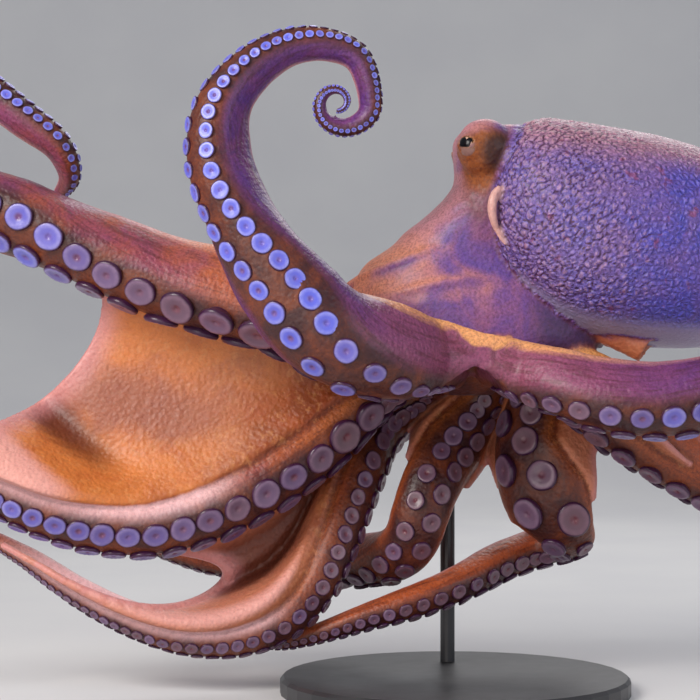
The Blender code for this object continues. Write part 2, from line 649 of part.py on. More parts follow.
def main():
    """Makes every solid of the model and of its stand."""
    for leftover in list(bpy.data.objects):
        bpy.data.objects.remove(leftover)
    materials = make_materials()
    arms = {name: Arm(spec) for name, spec in ARMS.items()}
    for name, arm in arms.items():
        make_arm(name, arm, ARMS[name]["cuts"], materials["flesh"])
    cutters = make_cutters(arms, materials["flesh"])
    cut(bpy.data.objects["arm_R3_1"], cutters["rod"])
    for pair, spec in WEBS.items():
        make_web(arms, cutters, pair, spec, materials["flesh"])
    mantle = loft("mantle", mantle_rings(), materials["flesh"])
    cut(mantle, cutters["funnel"])
    make_head(cutters, materials)
    make_crown(materials["flesh"])
    make_bridge(arms, materials["flesh"])
    make_funnel(materials["flesh"])
    make_stand(materials["stand"])


main()
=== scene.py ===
"""The looks of the swimming octopus: one skin over all its flesh, its suckers, its eyes
and its stand, in a plain studio.

Tables and mesh code work in millimetres, and MM turns them into metres when a mesh is
made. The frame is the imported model's: +X towards the tip of the mantle, +Y towards the
animal's right side, +Z up.
"""

import math
import random

import bpy
import numpy as np
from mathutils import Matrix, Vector, noise
from mathutils.kdtree import KDTree

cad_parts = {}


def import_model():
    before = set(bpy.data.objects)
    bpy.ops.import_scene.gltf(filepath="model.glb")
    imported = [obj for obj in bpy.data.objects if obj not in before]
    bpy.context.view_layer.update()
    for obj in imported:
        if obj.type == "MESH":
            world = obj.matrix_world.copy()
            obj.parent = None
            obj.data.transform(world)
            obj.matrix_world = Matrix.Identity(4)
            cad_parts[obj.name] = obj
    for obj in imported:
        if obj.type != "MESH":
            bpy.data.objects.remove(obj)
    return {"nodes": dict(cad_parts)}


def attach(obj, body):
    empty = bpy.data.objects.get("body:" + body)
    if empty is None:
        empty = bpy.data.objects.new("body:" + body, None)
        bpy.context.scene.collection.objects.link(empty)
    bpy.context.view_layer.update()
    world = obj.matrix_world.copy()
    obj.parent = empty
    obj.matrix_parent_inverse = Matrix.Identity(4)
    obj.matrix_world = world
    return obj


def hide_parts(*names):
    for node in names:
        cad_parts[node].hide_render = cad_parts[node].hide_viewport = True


MM = 0.001
SEED = 7              # for Blender's noise vectors, which would else change with the clock
VOXEL = 1.25   # the skin's mesh, in millimetres

# ---------------------------------------------------------------- the crown
CROWN = np.array([8.0, 0.0, 196.0])   # middle of the ring that the arms grow from
CROWN_REACH = 40.0                    # from its axis to the start of each arm
CROWN_SECTIONS = [(178, 14), (186, 25), (197, 37), (213, 37)]   # z and radius

# ---------------------------------------------------------------- the arms
# bearing: where the arm leaves the crown, in degrees from +X towards +Y.
# dip:     how far it points down as it leaves, in degrees.
# route:   points that the middle of the arm passes through.
# facing:  where the suckers point, at a part of the arm's length from 0 to 1.
# tall:    half of the arm from suckers to back, at a part of its length.
# wide:    half of the arm across as a share of tall, at a part of its length.
ARMS = {
    "L1": {
        "bearing": 202.5, "dip": 0,
        "route": [(-56, -27, 201), (-76, -33, 212), (-102, -36, 226), (-132, -34, 235),
                  (-172, -28, 246), (-213, -22, 263), (-254, -16, 281), (-299, -6, 298),
                  (-343, 6, 321), (-371, 14, 352), (-360, 16, 380), (-327, 14, 386),
                  (-292, 8, 368), (-260, 2, 345), (-238, 4, 327), (-233, 14, 310),
                  (-243, 30, 298)],
        "facing": [(0.0, (0, 0, -1)), (0.12, (0, -0.2, -0.98)), (0.2, (0, -0.35, -0.94)),
                   (0.26, (0, -0.55, -0.84)), (0.34, (0, -0.66, -0.75)),
                   (0.41, (0, -0.94, -0.34)), (0.55, (-0.5, -0.75, -0.3)),
                   (0.66, (-0.7, -0.6, 0.3)), (0.74, (0, -0.7, 0.7)),
                   (0.9, (0.55, -0.5, 0.65)), (1.0, (0.6, -0.3, -0.6))],
        "tall": [(0, 21), (0.1, 27), (0.2, 27), (0.33, 25.5), (0.45, 25.5), (0.6, 18),
                 (0.74, 14), (0.9, 11), (0.96, 8), (1, 3)],
        "wide": [(0, 0.7), (0.34, 0.72), (0.42, 0.84), (0.6, 0.76), (1, 0.7)],
    },
    "R1": {
        "bearing": 157.5, "dip": 25,
        "route": [(-50, 20, 185), (-63, 16, 173), (-78, 11, 158), (-98, 4, 142), (-123, -2, 125),
                  (-153, -6, 110), (-185, -10, 102), (-217, -14, 104), (-246, -18, 112),
                  (-276, -20, 125), (-307, -26, 138), (-341, -34, 139), (-366, -44, 124),
                  (-368, -52, 102), (-350, -56, 90), (-332, -56, 99)],
        "facing": [(0.0, (0, 0, -1)), (0.12, (0.3, -0.5, -0.8)), (0.3, (0.3, -0.65, -0.7)),
                   (0.5, (-0.1, -0.7, -0.7)), (0.7, (-0.1, -0.6, -0.8)),
                   (0.84, (-0.8, -0.4, -0.2)), (0.93, (0, -0.4, 0.9)), (1.0, (0.9, -0.4, 0))],
        "tall": [(0, 21), (0.12, 26), (0.25, 26), (0.45, 22), (0.62, 17), (0.8, 10),
                 (0.92, 5), (1, 1.5)],
        "wide": [(0, 0.7), (1, 0.74)],
    },
    "R2": {
        "bearing": 112.5, "dip": 30,
        "route": [(-14, 54, 187), (-25, 65, 177), (-39, 67, 165), (-51, 60, 151),
                  (-57, 47, 136), (-65, 35, 114), (-74, 24, 89), (-87, 14, 61),
                  (-106, 6, 42), (-132, 0, 33), (-162, -6, 34), (-194, -8, 44),
                  (-227, -6, 61), (-261, 2, 82), (-293, 12, 96), (-322, 20, 99)],
        "facing": [(0.0, (0, 0, -1)), (0.12, (0.5, -0.7, -0.5)), (0.3, (0.65, -0.7, -0.2)),
                   (0.5, (0.6, -0.6, -0.5)), (0.62, (0.1, -0.45, -0.9)),
                   (0.8, (-0.3, -0.3, -0.9)), (1.0, (0, -0.2, -0.9))],
        "tall": [(0, 16), (0.14, 22), (0.35, 18), (0.55, 13), (0.8, 8), (1, 1.5)],
        "wide": [(0, 0.7), (1, 0.8)],
    },
    "R3": {
        "bearing": 67.5, "dip": 50,
        "route": [(22, 46, 181), (15, 49, 169), (6, 46, 155), (-4, 39, 139), (-13, 29, 123),
                  (-20, 25, 105), (-26, 31, 88), (-38, 46, 76), (-55, 66, 71), (-80, 83, 68),
                  (-112, 95, 67), (-156, 97, 71), (-192, 98, 82), (-224, 104, 102),
                  (-242, 112, 126), (-238, 118, 146)],
        "facing": [(0.0, (0, 0, -1)), (0.1, (0, -0.8, -0.6)), (0.2, (0, -1, -0.1)),
                   (0.34, (0, -1, -0.2)), (0.42, (0, -0.3, -0.95)), (0.6, (0, 0.1, -1)),
                   (0.85, (-0.4, 0, -0.9)), (1.0, (-0.9, 0, 0))],
        "tall": [(0, 14), (0.14, 18), (0.26, 16), (0.4, 16), (0.52, 17), (0.64, 12),
                 (0.8, 7), (1, 1.5)],
        "wide": [(0, 0.7), (0.08, 0.9), (0.14, 1.05), (0.4, 1.0), (1, 0.9)],
    },
    "R4": {
        "bearing": 22.5, "dip": 50,
        "route": [(53, 21, 178), (49, 22, 164), (46, 20, 148), (50, 14, 128), (59, 10, 111),
                  (67, 15, 97), (73, 30, 89), (70, 47, 85), (54, 56, 80), (32, 48, 73),
                  (6, 29, 62), (-22, 18, 52), (-52, 14, 43), (-82, 14, 33), (-109, 20, 26),
                  (-134, 30, 28)],
        "facing": [(0.0, (0, 0, -1)), (0.08, (-0.7, -0.6, -0.4)), (0.14, (-0.78, -0.62, 0)),
                   (0.22, (-0.5, -0.86, 0)), (0.3, (-0.2, -0.95, -0.2)),
                   (0.38, (0.2, -0.4, -0.85)),
                   (0.5, (0.2, -0.7, -0.7)), (0.8, (0.25, -0.75, -0.65)),
                   (1.0, (-0.2, -0.5, -0.8))],
        "tall": [(0, 16), (0.14, 19), (0.24, 16), (0.32, 13), (0.55, 12), (0.7, 10),
                 (0.9, 5), (1, 1.5)],
        "wide": [(0, 0.7), (0.06, 0.9), (0.15, 1.3), (0.24, 1.65), (0.3, 1.2), (0.36, 0.9),
                 (1, 0.9)],
    },
    "L4": {
        "bearing": 337.5, "dip": 20,
        "route": [(64, -22, 187), (79, -21, 178), (96, -17, 165), (121, -10, 147), (150, -4, 129),
                  (183, 0, 108), (219, 2, 95), (254, 10, 94), (280, 22, 108), (291, 36, 129),
                  (283, 46, 146), (266, 52, 145)],
        "facing": [(0.0, (0, 0, -1)), (0.15, (-0.5, 0, -0.85)), (0.5, (-0.45, -0.1, -0.85)),
                   (0.75, (0.6, -0.35, -0.6)), (0.9, (0.7, -0.3, 0.6)), (1.0, (-0.3, -0.3, 0.9))],
        "tall": [(0, 20), (0.15, 24), (0.4, 20), (0.65, 13), (0.85, 7), (1, 1.5)],
        "wide": [(0, 0.7), (1, 0.8)],
    },
    "L3": {
        "bearing": 292.5, "dip": 5,
        "route": [(29, -55, 194), (36, -69, 191), (53, -83, 186), (78, -91, 179), (107, -93, 176),
                  (137, -92, 180), (168, -93, 192), (203, -97, 202), (237, -103, 199),
                  (262, -110, 182), (266, -115, 158), (248, -118, 144), (231, -119, 152),
                  (232, -119, 167)],
        "facing": [(0.0, (0, 0, -1)), (0.12, (0.1, -0.4, -0.9)), (0.4, (0.1, -0.7, -0.7)),
                   (0.6, (0, -0.6, -0.8)), (0.75, (0.7, -0.4, -0.5)), (0.85, (0.7, -0.4, 0.6)),
                   (0.93, (-0.2, -0.4, -0.9)), (1.0, (-0.9, -0.4, 0))],
        "tall": [(0, 15), (0.1, 17), (0.25, 22), (0.4, 23), (0.6, 16), (0.8, 8), (1, 1.5)],
        "wide": [(0, 0.7), (1, 0.74)],
    },
    "L2": {
        "bearing": 247.5, "dip": 0,
        "route": [(-16, -66, 199), (-32, -86, 201), (-51, -97, 205), (-71, -102, 213),
                  (-90, -104, 229), (-109, -104, 253), (-125, -102, 281), (-136, -98, 310),
                  (-135, -93, 338), (-121, -89, 360), (-98, -85, 375), (-75, -82, 377),
                  (-58, -80, 369)],
        "coil": {"centre": (-70, -77, 345), "start": -15, "turns": 1.37, "outer": 21.5,
                 "inner": 5.2},
        "facing": [(0.0, (0, 0, -1)), (0.12, (0, -0.2, -0.98)), (0.17, (-0.1, -0.55, -0.83)),
                   (0.22, (-0.15, -0.82, -0.55)), (0.28, (-0.1, -1, 0)),
                   (0.35, (-0.15, -1, 0)), (0.41, (-0.6, -0.8, 0)),
                   (0.47, (-0.7, -0.7, 0.1)),
                   (0.56, (-0.6, -0.65, 0.4)), (0.65, (-0.1, -0.6, 0.8)),
                   (0.72, (0.5, -0.5, 0.6))],
        "tall": [(0, 15), (0.07, 20), (0.13, 27), (0.2, 30), (0.33, 24), (0.52, 19),
                 (0.6, 14), (0.66, 11.5), (0.74, 8.5), (0.84, 6.4), (0.9, 5), (0.95, 3.5),
                 (1, 1.8)],
        "wide": [(0, 0.7), (0.16, 0.75), (0.22, 0.86), (0.28, 0.98), (0.34, 0.94),
                 (0.42, 0.76), (1, 0.74)],
    },
}

# One side of an arm's section without its suckers, from their skin to the back, as shares
# of wide and tall.
HALF_SECTION = [(0.48, 0.93), (1.0, 0.38), (0.98, -0.35), (0.45, -1.0)]
STEP = 2.0            # along an arm, from one sample of its path to the next
ROOT_LENGTH = 8.0     # an arm runs straight for this far as it leaves the crown
TALL_SOFTENED, FACING_SOFTENED = 16, 20    # distances that tables are smoothed over
COIL_TURN = 20.0      # the suckers turn to a coil's outside over this distance
COIL_LEAN = np.array([0, -0.4, 0])         # and lean this way too

# The knots that each round of a curve's blends lies between, by number.
KNOT_SPANS = [[(0, 1), (1, 2), (2, 3)], [(0, 2), (1, 3)], [(1, 2)]]


def smooth_path(points, samples=16):
    """A centripetal Catmull-Rom curve through the points."""
    points = np.asarray(points, float)
    points = np.vstack([2 * points[0] - points[1], points, 2 * points[-1] - points[-2]])
    curve = []
    for i in range(1, len(points) - 2):
        level = list(points[i - 1:i + 3])
        lengths = [np.linalg.norm(level[k + 1] - level[k]) ** 0.5 for k in range(3)]
        knots = np.cumsum([0.0] + lengths)
        t = np.linspace(knots[1], knots[2], samples, endpoint=False)[:, None]
        for spans in KNOT_SPANS:
            level = [((knots[b] - t) * level[k] + (t - knots[a]) * level[k + 1])
                     / (knots[b] - knots[a]) for k, (a, b) in enumerate(spans)]
        curve.append(level[0])
    curve.append(points[-2:-1])
    return np.vstack(curve)


def unit(vectors):
    """Vectors scaled to length 1."""
    return vectors / np.linalg.norm(vectors, axis=-1, keepdims=True)


def coil_points(centre, start, turns, outer, inner):
    """Points along a coil in the XZ plane that tightens towards its middle, clockwise."""
    points = []
    count = int(turns * 12)
    for i in range(1, count + 1):
        part = i / count
        angle = math.radians(start + 360 * turns * part)
        radius = inner + (outer - inner) * (1 - part) ** 2.4
        points.append((centre[0] + radius * math.cos(angle), centre[1],
                       centre[2] - radius * math.sin(angle)))
    return points


class Arm:
    """The path of an arm, with its facing and its size at any distance along it."""

    def __init__(self, spec):
        bearing, dip = math.radians(spec["bearing"]), math.radians(spec["dip"])
        away = np.array([math.cos(bearing), math.sin(bearing), 0.0])
        outward = away * math.cos(dip) - np.array([0, 0, math.sin(dip)])
        root = CROWN + CROWN_REACH * away
        route = [root, root + ROOT_LENGTH * outward] + list(spec["route"])
        coil = spec.get("coil")
        if coil:
            route += coil_points(**coil)
        curve = smooth_path(route)
        along = np.r_[0, np.cumsum(np.linalg.norm(np.diff(curve, axis=0), axis=1))]
        self.length = along[-1]
        self.s = np.linspace(0, self.length, int(self.length / STEP) + 1)
        self.point = self.sample(self.s, along, curve)
        self.tangent = unit(np.gradient(self.point, axis=0))
        self.tangent[0] = outward
        self.facing = self.find_facing(spec["facing"], coil)
        self.side = np.cross(self.tangent, self.facing)
        self.tall = self.soften(self.along(spec["tall"])[:, None], TALL_SOFTENED)[:, 0]
        self.wide = self.tall * self.along(spec["wide"])

    def find_facing(self, table, coil):
        """Where the suckers point, square to the arm. On a coil they turn to its outside."""
        parts, directions = zip(*table)
        facing = self.sample(self.s / self.length, parts, unit(np.array(directions, float)))
        if coil:
            middle = np.array(coil["centre"], float)
            outwards = unit(self.point - middle + COIL_LEAN * coil["outer"])
            share = np.clip((self.s - parts[-1] * self.length) / COIL_TURN, 0, 1)[:, None]
            facing = facing * (1 - share) + outwards * share
        facing = self.soften(facing, FACING_SOFTENED)
        facing -= (facing * self.tangent).sum(1)[:, None] * self.tangent
        return unit(facing)

    def along(self, table):
        """A table's values at each sample. Its first column is parts of the length."""
        return np.interp(self.s / self.length, *zip(*table))

    @staticmethod
    def sample(at, knots, values):
        """Values between knots, one column at a time."""
        values = np.asarray(values, float)
        return np.stack([np.interp(at, knots, column) for column in values.T], 1)

    @staticmethod
    def soften(values, distance):
        """A running mean over a distance to each side."""
        reach = max(1, int(distance / STEP))
        padded = np.pad(values, ((reach, reach), (0, 0)), mode="edge")
        window = np.ones(2 * reach + 1) / (2 * reach + 1)
        return np.stack([np.convolve(column, window, "valid") for column in padded.T], 1)

    def at(self, distance):
        """Middle, facing, side, tall and wide at a distance along the arm."""
        middle, facing, side = (self.sample([distance], self.s, v)[0]
                                for v in (self.point, self.facing, self.side))
        return (middle, facing, side, np.interp(distance, self.s, self.tall),
                np.interp(distance, self.s, self.wide))

    def edge(self, distance, hand, clearance):
        """A place at a clearance from the widest part of one side of the section."""
        middle, _, side, _, wide = self.at(distance)
        return middle + hand * side * (wide + clearance)

    def flank(self, distance, hand, clearance):
        """The corners of one side of the section, at a clearance from them."""
        middle, facing, side, tall, wide = self.at(distance)
        return [middle + hand * side * (w * wide + clearance) + facing * t * tall
                for w, t in HALF_SECTION]


# ---------------------------------------------------------------- shapes, as points and faces
ROPE_UP = (0.3, 0.2, 0.93)     # no rope runs this way


class Parts:
    """Points, faces and what is known of each point, gathered for one mesh."""

    CHANNELS = ("arm", "web", "mantle", "head", "oral", "back", "along", "girth", "rim", "up",
                "violet", "warm", "run", "turn", "fold", "inner", "pale")

    def __init__(self):
        self.verts, self.faces, self.known = [], [], []

    def add(self, shape, **known):
        """Adds points and faces. A channel is one number, or one for each point."""
        verts, faces = shape
        start = sum(len(v) for v in self.verts)
        verts = np.asarray(verts, float)
        self.verts.append(verts)
        self.faces += [tuple(i + start for i in face) for face in faces]
        table = np.zeros((len(verts), len(self.CHANNELS)))
        for name, value in known.items():
            table[:, self.CHANNELS.index(name)] = value
        self.known.append(table)

    def mesh(self, name):
        """All the parts as one mesh, in metres."""
        points = np.vstack(self.verts) * MM
        mesh = bpy.data.meshes.new(name)
        mesh.from_pydata(points.tolist(), [], self.faces)
        mesh.update()
        return mesh


def loop_faces(rings, count):
    """Faces between neighbouring rings of points."""
    faces = []
    for i in range(rings - 1):
        for k in range(count):
            m = (k + 1) % count
            faces.append((i * count + k, i * count + m, (i + 1) * count + m,
                          (i + 1) * count + k))
    return faces


def tube_faces(rings, count):
    """Faces of a closed tube of rings, with fans at its ends on two more points."""
    faces = loop_faces(rings, count)
    first, last, top = rings * count, rings * count + 1, (rings - 1) * count
    for k in range(count):
        m = (k + 1) % count
        faces.append((first, m, k))
        faces.append((last, top + k, top + m))
    return faces


def tube(rings):
    """A solid through rings of equal numbers of points."""
    points = [p for ring in rings for p in ring]
    points += [np.mean(rings[0], axis=0), np.mean(rings[-1], axis=0)]
    return points, tube_faces(len(rings), len(rings[0]))


def angles(count):
    """Angles once round a circle, in equal steps."""
    return [2 * math.pi * k / count for k in range(count)]


def circle(middle, across, up, radius, count):
    """Points round a circle, from two directions in its plane."""
    return [middle + radius * (across * math.cos(turn) + up * math.sin(turn))
            for turn in angles(count)]


def rope(path, radii, sides=10):
    """A round tube along a path."""
    path = np.asarray(path, float)
    tangents = unit(np.gradient(path, axis=0))
    rings = []
    for middle, tangent, radius in zip(path, tangents, radii):
        across = unit(np.cross(tangent, ROPE_UP))
        rings.append(circle(middle, across, np.cross(tangent, across), radius, sides))
    return tube(rings)


def ramp(values, low, high):
    """A smooth step from 0 at low to 1 at high."""
    share = np.clip((np.asarray(values, float) - low) / (high - low), 0, 1)
    return share * share * (3 - 2 * share)


def lump(points, centre, size):
    """1 at a centre, fading to 0 at about twice the size from it, along each axis."""
    away = (points - np.array(centre, float)) / np.array(size, float)
    return np.exp(-(away ** 2).sum(1))


# ---------------------------------------------------------------- the arms' surfaces
SECTION_POINTS = 32    # round an arm's section
ARM_STEP = 2.5         # from ring to ring
ARM_ROOT = 10.0        # an arm starts this far inside the crown
ARM_END = 0.8          # its last ring is at least this far from its tip
GIRTH_UNIT = 30.0      # an arm this tall, in half, has girth 1
CURVE_SAMPLES = 16     # from corner to corner of the section
CURVE_SWELL = 1.02     # makes up for the corners that the curve rounds off


def section_curve():
    """A smooth closed curve through the section's corners, as shares of wide and tall."""
    corners = HALF_SECTION + [(-w, t) for w, t in reversed(HALF_SECTION)]
    corners = np.array([(w * CURVE_SWELL, t * CURVE_SWELL) for w, t in corners])
    looped = np.vstack([corners, corners[:3]])
    curve = smooth_path(np.c_[looped, np.zeros(len(looped))], CURVE_SAMPLES)[:, :2]
    curve = curve[CURVE_SAMPLES:CURVE_SAMPLES * (len(corners) + 1)]
    step = len(curve) / SECTION_POINTS
    return [tuple(curve[int(i * step)]) for i in range(SECTION_POINTS)]


# How big an arm's suckers are, as shares of its half height, at parts of its length;
# how far apart they are in a row, in diameters; how blue they are; and how orange the
# arm's own sides are.
SUCKERS = {
    "L1": {"size": [(0, 0.26), (0.07, 0.32), (0.1, 0.46), (0.14, 0.42), (0.3, 0.36), (1, 0.28)],
           "apart": 1.12, "blue": [(0, 0.05), (0.3, 0.1), (0.38, 0.75), (1, 0.9)], "warm": 0.5},
    "L2": {"size": [(0, 0.2), (0.1, 0.2), (0.2, 0.25), (0.55, 0.26), (1, 0.26)],
           "apart": 1.05, "blue": [(0, 0.05), (0.16, 0.25), (0.24, 0.95), (1, 0.9)], "warm": 0},
    "L3": {"size": [(0, 0.24), (0.12, 0.32), (0.4, 0.3), (1, 0.3)],
           "apart": 1.1, "blue": [(0, 0.05), (0.22, 0.1), (0.34, 0.6), (1, 0.9)], "warm": 0.0},
    "L4": {"size": [(0, 0.24), (0.12, 0.34), (0.4, 0.36), (1, 0.3)],
           "apart": 1.25, "blue": [(0, 0.0), (1, 0.1)], "warm": 0.9},
    "R4": {"size": [(0, 0.24), (0.1, 0.44), (0.2, 0.58), (0.27, 0.7), (0.34, 0.44), (1, 0.42)],
           "apart": 1.22, "blue": [(0, 0.0), (1, 0.05)], "warm": 0.85},
    "R3": {"size": [(0, 0.24), (0.1, 0.36), (0.4, 0.4), (0.5, 0.36), (1, 0.3)],
           "apart": 1.15, "blue": [(0, 0.0), (1, 0.05)], "warm": 0.85},
    "R2": {"size": [(0, 0.22), (0.12, 0.28), (0.6, 0.32), (1, 0.3)],
           "apart": 1.06, "blue": [(0, 0.0), (1, 0.1)], "warm": 0.7},
    "R1": {"size": [(0, 0.24), (0.08, 0.38), (0.13, 0.42), (0.2, 0.35), (1, 0.32)],
           "apart": 0.98, "blue": [(0, 0.0), (0.3, 0.1), (0.55, 0.6), (1, 0.8)], "warm": 0.65},
}
# A painted highlight on the side of an arm that faces the web on its first hand: how strong,
# along the arm.
SIDE_HIGHLIGHTS = {"R1": [(0.24, 0), (0.36, 1), (0.6, 1), (0.72, 0)],
              "R2": [(0.42, 0), (0.52, 1), (0.8, 1), (0.92, 0)]}
SUCKER_SINK = 0.5     # the suckers' height, which the arm's sucker side gives way to


def sucker_radius(name, arm, distance):
    """The radius of a sucker at a distance along an arm."""
    parts, shares = zip(*SUCKERS[name]["size"])
    share = np.interp(distance / arm.length, parts, shares)
    return share * np.interp(distance, arm.s, arm.tall)


def arm_rings(name, arm, curve):
    """The sections of a whole arm, from inside the crown to its tip."""
    places = np.arange(0, arm.length - ARM_END, ARM_STEP)
    rings = []
    for d in places:
        middle, facing, side, tall, wide = arm.at(d)
        sink = SUCKER_SINK * sucker_radius(name, arm, d)
        rings.append([middle + side * w * wide + facing * (t * tall - max(t, 0) * sink)
                      for w, t in curve])
    start = np.array(rings[0]) - ARM_ROOT * arm.tangent[0]
    return np.r_[-ARM_ROOT, places], [start] + rings


def add_arm(parts, name, arm, curve):
    """One arm, with what its colours depend on at each point."""
    places, rings = arm_rings(name, arm, curve)
    count = len(rings)
    t = np.array([t for _, t in curve])
    w = np.array([w for w, _ in curve])
    oral = np.r_[np.tile(ramp(t, 0.25, 0.75), count), 0.5, 0.5]
    back = np.r_[np.tile(ramp(-t, 0.45, 0.95), count), 0.5, 0.5]
    along = np.r_[np.repeat(places, SECTION_POINTS), 0, arm.length] / arm.length
    tall = np.r_[np.repeat(np.interp(places, arm.s, arm.tall), SECTION_POINTS), 20, 2]
    run = np.r_[np.repeat(places, SECTION_POINTS), 0, arm.length]
    violet = np.interp(along, *zip(*SUCKERS[name]["blue"]))
    facing_web = np.r_[np.tile(ramp(w, -0.3, 0.5), count), 0, 0]
    # how much of the painted highlight each point of the flank takes
    pale = np.interp(along, *zip(*SIDE_HIGHLIGHTS.get(name, [(0, 0), (1, 0)]))) * facing_web
    parts.add(tube(rings), arm=1, pale=pale, oral=oral, back=back, along=along,
              girth=tall / GIRTH_UNIT, violet=violet, warm=SUCKERS[name]["warm"],
              run=run * MM, turn=np.r_[np.tile(t, count), 0, 0] * tall * MM)


# ---------------------------------------------------------------- suckers
# A sucker's outline from its foot in the skin to the middle of its cup: shares of its radius.
CUP = [(0.72, -0.5), (0.78, -0.15), (0.88, 0.02), (0.97, 0.13), (1.0, 0.24), (0.985, 0.33),
       (0.93, 0.4), (0.85, 0.435), (0.75, 0.445), (0.62, 0.435), (0.5, 0.415), (0.38, 0.4),
       (0.28, 0.385), (0.2, 0.37), (0.14, 0.34), (0.08, 0.3), (0.0, 0.29)]
CUP_SIDES = 28
CUP_RIDGES = 14         # fine ridges round a cup
CUP_SHAPES = 6          # slightly different suckers, drawn from at random
FIRST_SUCKER = 12.0     # from an arm's base
LAST_SUCKER = 2.0       # from its tip, at least
SMALLEST_SUCKER = 0.55
ROW_OFFSET = 0.37       # a row's distance from the arm's middle line, as a share of tall
SUCKER_LEAN = 16        # degrees away from that line, and as much again at the arm's edge


def sucker_mesh(seed):
    """One sucker of radius 1: its points, faces, and the radius and level of each point."""
    dice = random.Random(seed)
    phase, tilt = dice.uniform(0, 6.28), dice.uniform(0.02, 0.05)
    points, out, level = [], [], []
    for row, (radius, height) in enumerate(CUP[:-1]):
        ridged = 0.01 * ramp(radius, 0.25, 0.5) * ramp(height, 0.3, 0.4) * (radius < 0.95)
        for turn in angles(CUP_SIDES):
            wave = 1 + 0.025 * math.sin(2 * turn + phase) + 0.012 * math.sin(5 * turn + phase)
            points.append((radius * wave * math.cos(turn), radius * wave * math.sin(turn),
                           height + ridged * math.cos(turn * CUP_RIDGES)
                           + tilt * radius * math.cos(turn + phase)))
            out.append(radius)
            level.append(row / (len(CUP) - 1))
    points.append((0, 0, CUP[-1][1]))
    out.append(0.0)
    level.append(1.0)
    rows = len(CUP) - 1
    faces = loop_faces(rows, CUP_SIDES)
    faces.append(tuple(reversed(range(CUP_SIDES))))
    top, last = (rows - 1) * CUP_SIDES, len(points) - 1
    faces += [(top + k, top + (k + 1) % CUP_SIDES, last) for k in range(CUP_SIDES)]
    return np.array(points), faces, np.array(out), np.array(level)


def sucker_places(name, arm):
    """Where an arm's suckers are: two staggered rows, as (distance, hand)."""
    places = []
    for hand, shift in ((1, 0.0), (-1, 0.5)):
        distance = FIRST_SUCKER
        radius = sucker_radius(name, arm, distance)
        distance += shift * 2 * radius * SUCKERS[name]["apart"]
        while True:
            radius = sucker_radius(name, arm, distance)
            if radius < SMALLEST_SUCKER or distance > arm.length - LAST_SUCKER:
                break
            places.append((distance, hand))
            ahead = sucker_radius(name, arm, min(distance + 2 * radius, arm.length))
            distance += (radius + ahead) * SUCKERS[name]["apart"]
    return places


def place_sucker(name, arm, distance, hand, shapes, dice):
    """A sucker's shape and its points on the arm, leaning away from the middle line."""
    middle, facing, side, tall, wide = arm.at(distance)
    tangent = arm.sample([distance], arm.s, arm.tangent)[0]
    radius = sucker_radius(name, arm, distance)
    offset = max(ROW_OFFSET * tall, 1.02 * radius)
    share = min(offset / wide, 0.85)
    height = tall * (0.94 - 0.22 * share ** 2) - SUCKER_SINK * radius
    lean = math.radians(SUCKER_LEAN + SUCKER_LEAN * share) + dice.uniform(-0.08, 0.08)
    up = unit(facing * math.cos(lean) + hand * side * math.sin(lean)
              + tangent * dice.uniform(-0.07, 0.07))
    ahead = unit(tangent - up * np.dot(tangent, up))
    foot = middle + hand * side * offset + facing * height
    shape = shapes[dice.randrange(CUP_SHAPES)]
    size = radius * dice.uniform(0.95, 1.04)
    points = shape[0]
    return shape, foot + size * (points[:, :1] * ahead * 1.03
                                 + points[:, 1:2] * np.cross(up, ahead) * 0.98
                                 + points[:, 2:] * up)


def make_suckers(name, arm, material):
    """All the suckers of one arm as one mesh."""
    dice = random.Random(name)
    shapes = [sucker_mesh(i) for i in range(CUP_SHAPES)]
    points, faces = [], []
    kept = {"out": [], "level": [], "blue": [], "chance": []}
    start = 0
    for distance, hand in sucker_places(name, arm):
        shape, placed = place_sucker(name, arm, distance, hand, shapes, dice)
        points.append(placed)
        faces += [tuple(i + start for i in face) for face in shape[1]]
        start += len(placed)
        blue = np.interp(distance / arm.length, *zip(*SUCKERS[name]["blue"]))
        kept["out"].append(shape[2])
        kept["level"].append(shape[3])
        kept["blue"].append(np.full(len(placed), blue + dice.uniform(-0.08, 0.08)))
        kept["chance"].append(np.full(len(placed), dice.random()))
    mesh = bpy.data.meshes.new(f"suckers_{name}")
    mesh.from_pydata((np.vstack(points) * MM).tolist(), [], faces)
    mesh.update()
    for label, values in kept.items():
        store(mesh, label, np.concatenate(values))
    mesh.shade_smooth()
    mesh.materials.append(material)
    return show(f"suckers_{name}", mesh)


def store(mesh, name, values):
    """Keeps one number for each point of a mesh."""
    attribute = mesh.attributes.new(name, "FLOAT", "POINT")
    attribute.data.foreach_set("value", np.asarray(values, np.float32))


def show(name, mesh):
    """A mesh as a new object of the scene."""
    shape = bpy.data.objects.new(name, mesh)
    bpy.context.scene.collection.objects.link(shape)
    return shape


